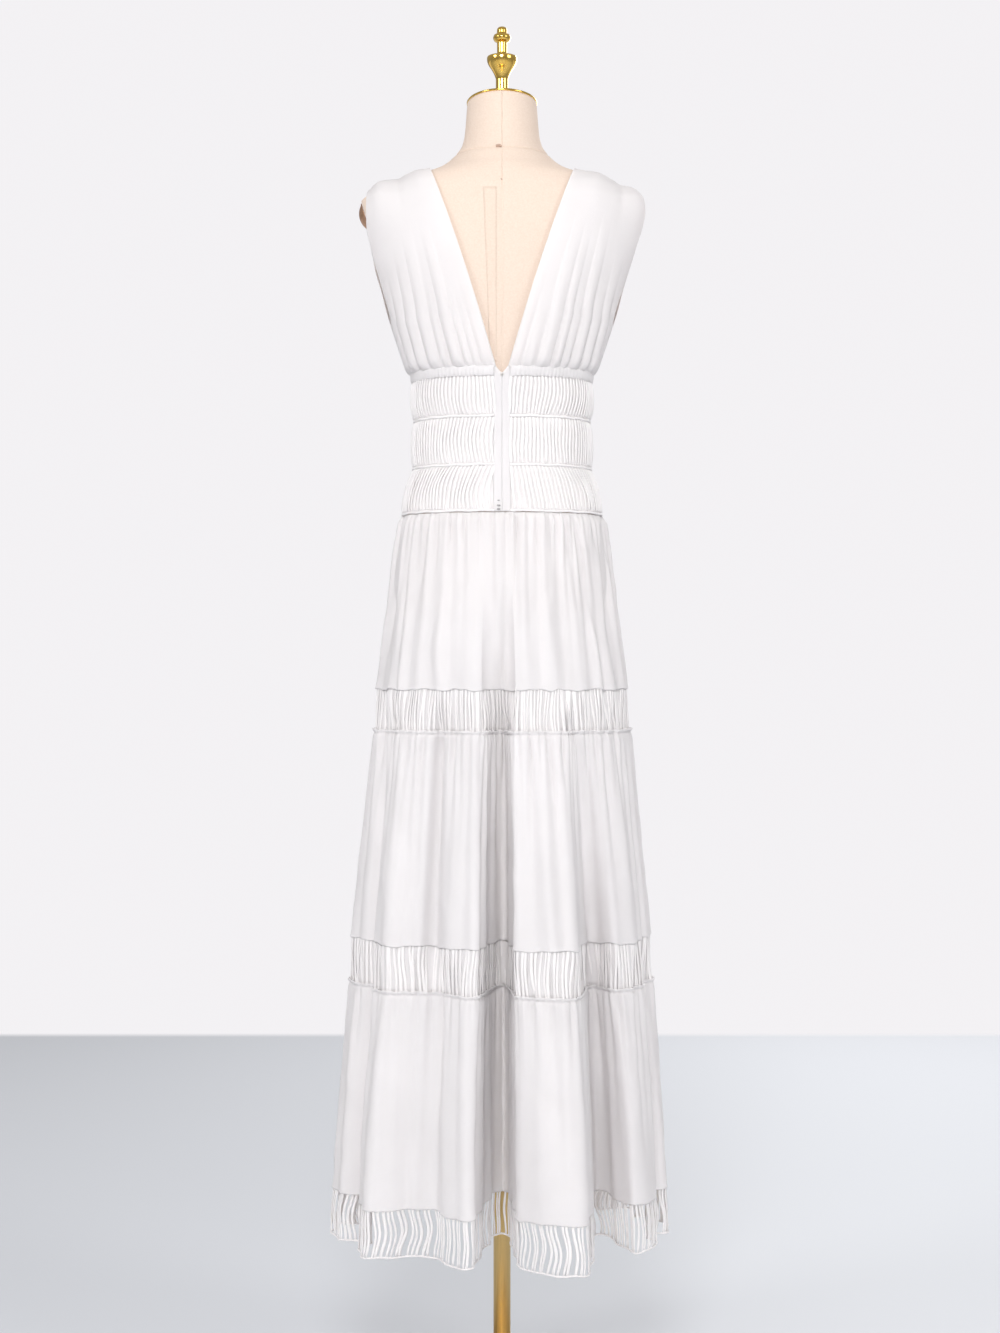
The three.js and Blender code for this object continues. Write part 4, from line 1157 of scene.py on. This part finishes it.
# The hook and eye over the zip's top: width, height over it and distance out of the lips.
HOOK_Z = 1367.0
EYE_THICK = 0.8
HOOK_THICK = 0.9
HOOK_EYE = ((2.6, 1.6, -0.4), (1.0, 1.4, 0.5), (-0.4, 0.2, 0.7), (1.0, -1.2, 0.5), (2.6, -1.4, -0.4))
HOOK_BEND = ((-3.0, 1.0, -0.4), (-0.8, 0.6, 0.6), (0.9, 0.2, 1.3), (0.2, -0.4, 0.2), (-3.0, -0.8, -0.4))

# The bar tacks at the zip's foot, drawn dark grey: height, half width and thickness.
BAR_TACK_X = 4.5
BAR_TACKS = ((1202.0, 1.1, 1.6), (1195.2, 1.8, 2.6), (1190.4, 1.8, 2.6))

# Tacks in the form's seams: name, width, height, half length and thickness.
FORM_TACKS = (("neck_tack", 4.3, 1674.6, 3.6, 3.4), ("back_tack", 1.2, 1624.0, 1.0, 2.2))

# A lip of the zip from the middle out: width, and height over the lining.
LIP_SECTION = (
    (0.15, 1.3), (0.5, 1.75), (1.6, 2.05), (3.0, 2.15), (4.6, 2.2), (6.2, 2.1), (7.6, 2.0), (8.6, 1.8),
    (9.8, 1.4), (11.4, 0.9),
)
LIP_HEIGHT = 2.4
LIP_ROWS = 60


def build_zip():
    """The two lips that hide the zip."""
    drop = np.linspace(0, 1, LIP_ROWS)[:, None]
    width, height = np.array(LIP_SECTION).T
    for name, side in SIDES:
        x = width + 0.35 * np.sin(9 * drop + side) * (width > 1)
        z = mix(notch_top(width) + 0.4, TIER_1_TOP + 0.6, drop)
        ripple = 0.25 * np.sin(31 * drop + 2 * side) * np.sin(np.pi * width / width[-1])
        y = depth_at(FORM_SECTIONS, z, x, 1, ON_LINING) + height + ripple
        grid = np.stack([side * x, y, z], axis=-1)
        if side < 0:
            grid = grid[:, ::-1]
        piece = add_cloth(f"cloth_zip_lip_{name}", grid, CREPE, [f"zip_lip_{name}"])


def build_wire(name, points, thick, material):
    """A thin round wire or thread through given points, eased into a curve."""
    path = eased(points, 8 * len(points))[None]
    along = unit(np.gradient(path, axis=1))
    side = unit(np.cross((0.0, 1.0, 0.0), along))
    out = unit(np.cross(along, side))
    return add_tubes(name, path, side, out, (thick, thick), TUBE_SIDES, material)


def lip_depth(x, z):
    """How far back the top of the zip's lips lies."""
    return float(depth_at(FORM_SECTIONS, z, x, 1, ON_LINING)) + LIP_HEIGHT


def build_fastenings():
    """A hook and eye over the zip's top, dark grey bar tacks at its foot and tacks in the form's seams."""
    y = lip_depth(0.0, HOOK_Z)
    wires = (("zip_eye", HOOK_EYE, EYE_THICK), ("zip_hook", HOOK_BEND, HOOK_THICK))
    for name, bends, thick in wires:
        points = [(x, y + out, HOOK_Z + up) for x, up, out in bends]
        build_wire(name, points, thick, STEEL)
    for k, (z, half, thick) in enumerate(BAR_TACKS):
        x = BAR_TACK_X
        depth = lip_depth(x, z)
        points = [(x - half, depth - 0.5, z), (x, depth + 0.4, z), (x + half, depth - 0.5, z)]
        build_wire(f"bar_tack_{k + 1}", points, thick, DARK_GREY_TACKS)
    for name, x, z, half, thick in FORM_TACKS:
        depth = float(depth_at(FORM_SECTIONS, z, x, 1))
        points = [(x - half, depth - 1.6, z - 0.8), (x, depth - 0.8, z + 0.6), (x + half, depth - 1.6, z)]
        build_wire(name, points, thick, BROWN_THREAD)


# The skirt

DENSE = 1920
TIER_STEP = 3
FINE_COLUMNS = 14400
FACING_COLUMNS = 3
FOLD_SOFTNESS = 5.0
SPREAD_HEIGHT = 500.0


def fold_push(turn, z):
    """How far the large folds move the cloth, as x and y."""
    move_x = np.zeros(np.broadcast(turn, z).shape)
    move_y = np.zeros_like(move_x)
    for place, aim, left, right, push, start, flat in FOLDS:
        off = wrapped(turn - place)
        t = np.clip(off / np.where(off > 0, left, right), -1, 1)
        strength = np.clip((start - z) / (start - HEM), 0, None) ** FOLD_GROWTH
        moved = push * strength * np.clip(0.5 + 0.5 * np.cos(np.pi * t), 0, 1) ** flat
        move_x += moved * math.sin(math.radians(aim))
        move_y += moved * math.cos(math.radians(aim))
    return move_x, move_y


def gather_push(tier, turn, z):
    """How far the gathers in a tier's solids draw its cloth in."""
    count, deepest, reach = tier["gathers"]
    pitch = 360 / count
    fade = np.exp(-(tier["top"] - z) / reach)
    push = np.zeros(np.broadcast(turn, z).shape)
    for k in range(count):
        groove = (k + 0.5 + 0.22 * math.sin(2.4 * k)) * pitch
        t = np.clip(np.abs(wrapped(turn - groove)) / (pitch / 2), 0, 1)
        depth = deepest * (0.75 + 0.25 * math.sin(1.7 * k))
        push -= depth * fade * (0.5 + 0.5 * np.cos(np.pi * t))
    return push


def raw_skirt(turn, z):
    x, y = outline_at(SKIRT_SECTIONS, z, turn)
    move_x, move_y = fold_push(turn, z)
    return np.stack([x + move_x, y + move_y, z + 0 * x], axis=-1)


def run_round(line):
    """How far each point of a closed line lies along it, with the whole length at the end."""
    return run_along(np.concatenate([line, line[:1]]))


def even_columns():
    """Turns of the skirt's columns, evenly spaced along its folds."""
    fine = np.linspace(0, 360, FINE_COLUMNS + 1)[:-1]
    run = run_round(raw_skirt(fine, np.full_like(fine, SPREAD_HEIGHT)))
    return np.interp(np.arange(DENSE) / DENSE * run[-1], run[:-1], fine)


SKIRT_TURNS = even_columns()


def shares_at(z):
    """How far round the cloth each dense column lies at a height, from 0 to 1."""
    lines, _ = skirt_lines([z])
    run = run_round(lines[0])
    return run[None, :-1] / run[-1]


def soften(lines):
    """Rounds the edges of the folds along closed lines of points."""
    reach = int(3 * FOLD_SOFTNESS)
    offsets = np.arange(-reach, reach + 1)
    weights = np.exp(-0.5 * (offsets / FOLD_SOFTNESS) ** 2)
    weights /= weights.sum()
    return sum(w * np.roll(lines, k, axis=1) for k, w in zip(offsets, weights))


def skirt_lines(heights, tier=None):
    """Level lines of the skirt's cloth on its dense columns, and the level directions out of it."""
    z = np.asarray(heights, float)[:, None]
    turn = SKIRT_TURNS[None, :]
    lines = raw_skirt(turn, z)
    if tier:
        push = gather_push(tier, turn, z)
        out_x, out_y = facing_at(SKIRT_SECTIONS, z, turn)
        lines[..., 0] += out_x * push
        lines[..., 1] += out_y * push
    lines = soften(lines)
    return lines, level_out(lines)


def level_out(lines):
    """The level directions that face out of closed lines of points."""
    along = np.roll(lines, -FACING_COLUMNS, axis=1) - np.roll(lines, FACING_COLUMNS, axis=1)
    return unit(np.stack([-along[..., 1], along[..., 0], 0 * along[..., 0]], axis=-1))


def crease_relief(rows, turn, drop):
    """Troughs and ridges from the listed rows, the back's and similar ones on the front."""
    relief = np.zeros(np.broadcast(turn, drop).shape)
    shorter, wider, shallower = FRONT_CREASES
    front = [
        (180 - place, -drift, start, length * shorter, width * wider, depth * shallower)
        for place, drift, start, length, width, depth in rows
    ]
    for place, drift, start, length, width, depth in [*rows, *front]:
        q = np.clip((drop - start) / length, 0, 1)
        off = wrapped(turn - place - drift * q) / (width * (0.55 + 0.75 * q))
        fade = (1 - q) ** 0.9 if start == 0 else np.sin(np.pi * q)
        relief += CREASE_DEPTH * depth * np.exp(-(off**2)) * fade
    return relief


# The tiers: the gathers of the solids under each (how many, how deep and how far down they run), the
# height of the heading over its seam, how deep and how far the seam pinches it, how many fine, middle
# and long waves it has round the body, a seed for them, and the flat size of its cloth in metres.
TIERS = (
    {
        "name": "cloth_tier_1", "top": TIER_1_TOP, "foot": TIER_1_FOOT, "gathers": (34, 4.0, 85.0),
        "creases": TIER_1_CREASES, "heading": 0.0, "pinch": (4.0, 6.0), "cycles": (118, 61, 27),
        "seed": 1.0, "flat": (1.2, 0.24),
        "nodes": ["tier_1_back_left", "tier_1_back_right", "tier_1_front"],
    },
    {
        "name": "cloth_tier_2", "top": TIER_2_TOP, "foot": TIER_2_FOOT, "gathers": (28, 6.0, 70.0),
        "creases": TIER_2_CREASES, "heading": 5.0, "pinch": (1.4, 1.6), "cycles": (164, 83, 33),
        "seed": 2.6, "flat": (1.65, 0.29),
        "nodes": ["tier_2_back", "tier_2_front"],
    },
    {
        "name": "cloth_tier_3", "top": TIER_3_TOP, "foot": TIER_3_FOOT, "gathers": (32, 6.0, 70.0),
        "creases": TIER_3_CREASES, "heading": 5.0, "pinch": (1.4, 1.6), "cycles": (196, 97, 39),
        "seed": 4.3, "flat": (2.1, 0.29),
        "nodes": ["tier_3_back", "tier_3_front"],
    },
)

# The waves of a tier's cloth: how high they are, and how far down they run out or set in.
FINE_WAVES = {"height": 1.5, "run": 26.0}
MIDDLE_WAVES = {"height": 2.8, "run": 90.0}
LONG_WAVES = {"height": 3.4, "run": 60.0}
SWAY = 1.1
SEAM_FLATNESS = 0.5
SEAM_OPENING = 14.0
HEADING_ROWS = (-1.0, -0.55, -0.15)
TOP_DROPS = (0.0, 2.0, 4.5, 8.0, 12.0, 17.0, 23.0, 30.0, 38.0, 47.0, 57.0)
MIDDLE_ROWS = 30
EDGE_STARTS = 4.6
ROLLED_EDGE = ((-3.6, 0.1), (-2.4, 0.4), (-1.0, 0.6), (0.2, 0.4), (0.5, 0.0), (-0.4, -0.5))


def tier_relief(tier, drop):
    """Height of a tier's fine gathers, long soft folds and creases over its own form."""
    share = shares_at((tier["top"] + tier["foot"]) / 2)
    fine, middle, long = tier["cycles"]
    seed = tier["seed"]
    length = tier["top"] - tier["foot"]
    below = np.clip(drop, 0, None)
    gathers = broad_ridges(uneven_wave(share, fine, seed))
    relief = FINE_WAVES["height"] * gathers * np.exp(-below / FINE_WAVES["run"])
    opening = mix(SEAM_FLATNESS, 1.0, smooth_step(below / SEAM_OPENING))
    swell = broad_ridges(uneven_wave(share, middle, seed + 1)) * np.exp(-below / MIDDLE_WAVES["run"])
    relief = relief + MIDDLE_WAVES["height"] * swell * opening
    rise = smooth_step(below / LONG_WAVES["run"]) * (0.55 + 0.45 * below / length)
    fold = uneven_wave(share + 0.004 * below / length, long, seed + 2)
    relief = relief + LONG_WAVES["height"] * fold * rise
    sway = uneven_wave(share + 0.03 * np.sin(below / 47 + seed), 21, seed + 3)
    relief = relief + SWAY * sway * np.sin(below / 31 + 3 * share * np.pi + seed) * rise
    return relief + crease_relief(tier["creases"], SKIRT_TURNS[None, :], below) * opening


def tier_cloth(tier, drop):
    """A tier's lines on the dense columns, the directions out of them and the cloth's height there."""
    lines, out = skirt_lines(tier["top"] - drop[:, 0], tier)
    depth, run = tier["pinch"]
    pinch = depth * np.exp(-((drop / run) ** 2))
    return lines, out, tier_relief(tier, drop) - pinch


def seam_shift(tier, z):
    """How far a tier's cloth lies from the skirt's plain folds along one level line."""
    lines, out, relief = tier_cloth(tier, np.array([[tier["top"] - z]]))
    plain, _ = skirt_lines([z])
    return (lines + out * relief[..., None] - plain)[0]


def build_tier(tier):
    """A tier as one sheet round the body: a frilled heading, gathers, folds and a rolled edge."""
    length = tier["top"] - tier["foot"]
    heading = [h * tier["heading"] for h in HEADING_ROWS] if tier["heading"] else []
    middle = np.linspace(TOP_DROPS[-1], length - EDGE_STARTS, MIDDLE_ROWS)[1:]
    edge = [length + drop for drop, _ in ROLLED_EDGE]
    drop = np.array([*heading, *TOP_DROPS, *middle, *edge])[:, None]
    lines, out, relief = tier_cloth(tier, drop)
    share = shares_at((tier["top"] + tier["foot"]) / 2)
    frill = np.clip(-drop / max(tier["heading"], 1), 0, 1)
    relief = relief + frill * (1.3 + 1.2 * uneven_wave(share, tier["cycles"][0], tier["seed"] + 5))
    relief[-len(ROLLED_EDGE):] += np.array([lift for _, lift in ROLLED_EDGE])[:, None]
    low = np.clip(drop / length, 0, 1) ** 3
    dip = 1.6 * uneven_wave(share, 19, tier["seed"] + 6) + 0.8 * uneven_wave(share, 47, tier["seed"])
    cloth = lines + out * relief[..., None]
    cloth[..., 2] += dip * low + 0.9 * frill * uneven_wave(share, 71, tier["seed"] + 7)
    cloth = clear_of_form(cloth[:, ::TIER_STEP], CLOTH_CLEARANCE)
    return add_cloth(tier["name"], cloth, CREPE, tier["nodes"], closed=True)


# The openwork between the tiers and along the hem: how many strands, what share of their pitch is
# strand, how far they wave, and how many half turns of that wave they make.
INSERTIONS = (
    {
        "name": "openwork_insertion_1", "top": TIER_1_FOOT + 5.0, "foot": TIER_2_TOP - 1.0,
        "strands": 228, "thick": 0.7, "wave": 1.9, "swing": 1.4,
        "nodes": ["insertion_1_back", "insertion_1_front"],
    },
    {
        "name": "openwork_insertion_2", "top": TIER_2_FOOT + 5.0, "foot": TIER_3_TOP - 1.0,
        "strands": 262, "thick": 0.7, "wave": 2.2, "swing": 1.4,
        "nodes": ["insertion_2_back", "insertion_2_front"],
    },
    {
        "name": "openwork_hem", "top": TIER_3_FOOT + 5.0, "foot": HEM + 2.0,
        "strands": 330, "thick": 0.58, "wave": 3.8, "swing": 2.0,
        "nodes": ["hem_insertion_back", "hem_insertion_front"],
    },
)
STRAND_STATIONS = 13
STRAND_SIDES = 6
STRAND_FLATNESS = 0.34
STRAND_INSET = 1.6
HEM_CORD_THICK = 2.7
HEM_CORD_STEP = 2
GROUND_INSET = 2.2
GROUND_STEP = 4
GROUND_STATIONS = 7
GROUND_FLATS = ((1.25, 0.064), (1.7, 0.069))


def strip_lines(k, t):
    """Level lines of a strip, which takes its waves from the tier over it and the seam under it."""
    row = INSERTIONS[k]
    lines, _ = skirt_lines(mix(row["top"], row["foot"], t))
    over = seam_shift(TIERS[k], row["top"])
    under = seam_shift(TIERS[k + 1], row["foot"]) if k + 1 < len(TIERS) else over
    return lines + mix(over[None], under[None], smooth_step(t)[:, None, None])


def build_insertion(k, seed):
    """A strip of openwork: upright strands with gaps between, wavy and a little slack."""
    row = INSERTIONS[k]
    t = np.linspace(0, 1, STRAND_STATIONS)[None, :]
    lines = strip_lines(k, t[0])
    out = level_out(lines)
    run = run_round(lines[STRAND_STATIONS // 2])
    count = row["strands"]
    share = ((np.arange(count) + 0.5) / count)[:, None]
    wander = 0.27 * uneven_wave(share, count * 0.41, seed)
    wave = row["wave"] * (0.6 + 0.4 * uneven_wave(share, 9, seed + 1))
    phase = 1.6 * np.sin(2 * np.pi * 5 * share + seed) + 0.5 * uneven_wave(share, 61, seed)
    side_step = wave * np.sin(row["swing"] * np.pi * t + phase)
    side_step = side_step + 1.5 * uneven_wave(share, count * 0.29, seed + 2) * (t - 0.4)
    place = (share + wander / count) * run[-1] + side_step
    column = np.interp(place % run[-1], run, np.arange(DENSE + 1))
    path = sample_lines(lines, column)
    facing = unit(sample_lines(out, column))
    slack = 0.9 * np.sin(np.pi * t) * (0.4 + uneven_wave(share, 23, seed + 3))
    path = path + facing * (slack - STRAND_INSET)[..., None]
    along = unit(np.gradient(path, axis=1))
    side = unit(np.cross(facing, along))
    width = run[-1] / count * row["thick"] * (1 + 0.18 * uneven_wave(share, 77, seed + 4))
    return add_tubes(
        row["name"], path, side, unit(np.cross(along, side)), (width, width * STRAND_FLATNESS),
        STRAND_SIDES, OPENWORK, row["nodes"],
    )


def build_ground(k):
    """The plain sheer cloth that shows pale behind the strands of a strip."""
    lines = strip_lines(k, np.linspace(0, 1, GROUND_STATIONS))
    cloth = (lines - level_out(lines) * GROUND_INSET)[:, ::GROUND_STEP]
    return add_cloth(f"cloth_ground_{k + 1}", cloth, CREPE, closed=True)


def sample_lines(lines, column):
    """Points of closed lines at fractional columns: strands by stations."""
    low = np.floor(column).astype(int)
    part = (column - low)[..., None]
    station = np.arange(lines.shape[0])[None, :]
    return mix(lines[station, low % DENSE], lines[station, (low + 1) % DENSE], part)


def build_hem_cord():
    """The thin cord that the strands of the hem end in."""
    lines = strip_lines(len(INSERTIONS) - 1, np.array([1.0]))
    out = level_out(lines)[:, ::HEM_CORD_STEP]
    share = (np.arange(DENSE) / DENSE)[None, ::HEM_CORD_STEP]
    path = lines[:, ::HEM_CORD_STEP] - out * STRAND_INSET
    path[..., 2] += 1.0 * uneven_wave(share, 43, 2.0) - 0.4
    size = HEM_CORD_THICK * (1 + 0.12 * uneven_wave(share, 210, 3.0))
    return add_tubes(
        "cord_hem", path, 0 * out + UP, out, (size, size), STRAND_SIDES, OPENWORK, closed=True
    )


# Building it all

build_torso()
build_tape()
build_cap_and_finial()
build_arm_plates()
build_stand()
lining = build_lining()
casing = build_casing()
build_ribs()
build_waist_cords()
build_zip()
build_fastenings()

for face_name in ("back", "front"):
    for side_name in ("left", "right"):
        panel = build_bodice_panel(face_name, side_name)

strips = [build_insertion(k, 1.7 * k + 0.6) for k in range(len(INSERTIONS))]
hem_cord = build_hem_cord()
for k, flat in enumerate(GROUND_FLATS):
    build_ground(k)
for k, tier in enumerate(TIERS):
    cloth = build_tier(tier)


# The stage, the light and the camera


def add_floor():
    mesh = bpy.data.meshes.new("floor")
    corners = [(-1, -1, 0), (1, -1, 0), (1, 1, 0), (-1, 1, 0)]
    points = [(x * FLOOR_HALF, y * FLOOR_HALF, z) for x, y, z in corners]
    mesh.from_pydata(points, [], [(0, 1, 2, 3)])
    mesh.materials.append(floor_material())
    floor = bpy.data.objects.new("floor", mesh)
    floor.location.z = FLOOR_Z
    bpy.context.scene.collection.objects.link(floor)


def add_light(name, place, target, size, power):
    data = bpy.data.lights.new(name, "AREA")
    data.shape = "DISK"
    data.size = size
    data.energy = power
    light = bpy.data.objects.new(name, data)
    light.location = place
    way = np.array(target) - np.array(place)
    light.rotation_euler = (
        math.atan2(math.hypot(way[0], way[1]), -way[2]),
        0.0,
        math.atan2(way[1], way[0]) - math.pi / 2,
    )
    bpy.context.scene.collection.objects.link(light)


def add_world():
    """A pale wall tone behind, and a sky that is brighter above than below for the light."""
    shading = Shading(bpy.data.worlds.new("studio"))
    shading.nodes.clear()
    place = shading.add("ShaderNodeTexCoord", output="Generated")
    up = shading.add("ShaderNodeSeparateXYZ", {"Vector": place}, "Z")
    height = shading.add("ShaderNodeMapRange", {"From Min": -0.6, "From Max": 0.8, "Value": up})
    lit = shading.add("ShaderNodeBackground", {"Color": shading.ramp(height, SKY_LOW, SKY_HIGH, 0.0, 1.0)})
    wall = shading.add("ShaderNodeBackground", {"Color": (*WALL_TONE, 1)})
    seen = shading.add("ShaderNodeLightPath", output="Is Camera Ray")
    output = shading.nodes.new("ShaderNodeOutputWorld")
    shading.set(output, {"Surface": shading.blend(seen, lit, wall)})
    bpy.context.scene.world = shading.owner


def add_camera():
    data = bpy.data.cameras.new("camera")
    data.lens = CAMERA_LENS
    data.sensor_width = CAMERA_SENSOR
    camera = bpy.data.objects.new("camera", data)
    camera.location = CAMERA_PLACE
    camera.rotation_euler = (math.pi / 2, 0.0, math.pi)
    bpy.context.scene.collection.objects.link(camera)
    bpy.context.scene.camera = camera


add_floor()
for light in LIGHTS:
    add_light(*light)
add_world()
add_camera()
bpy.context.scene.view_settings.view_transform = "Standard"
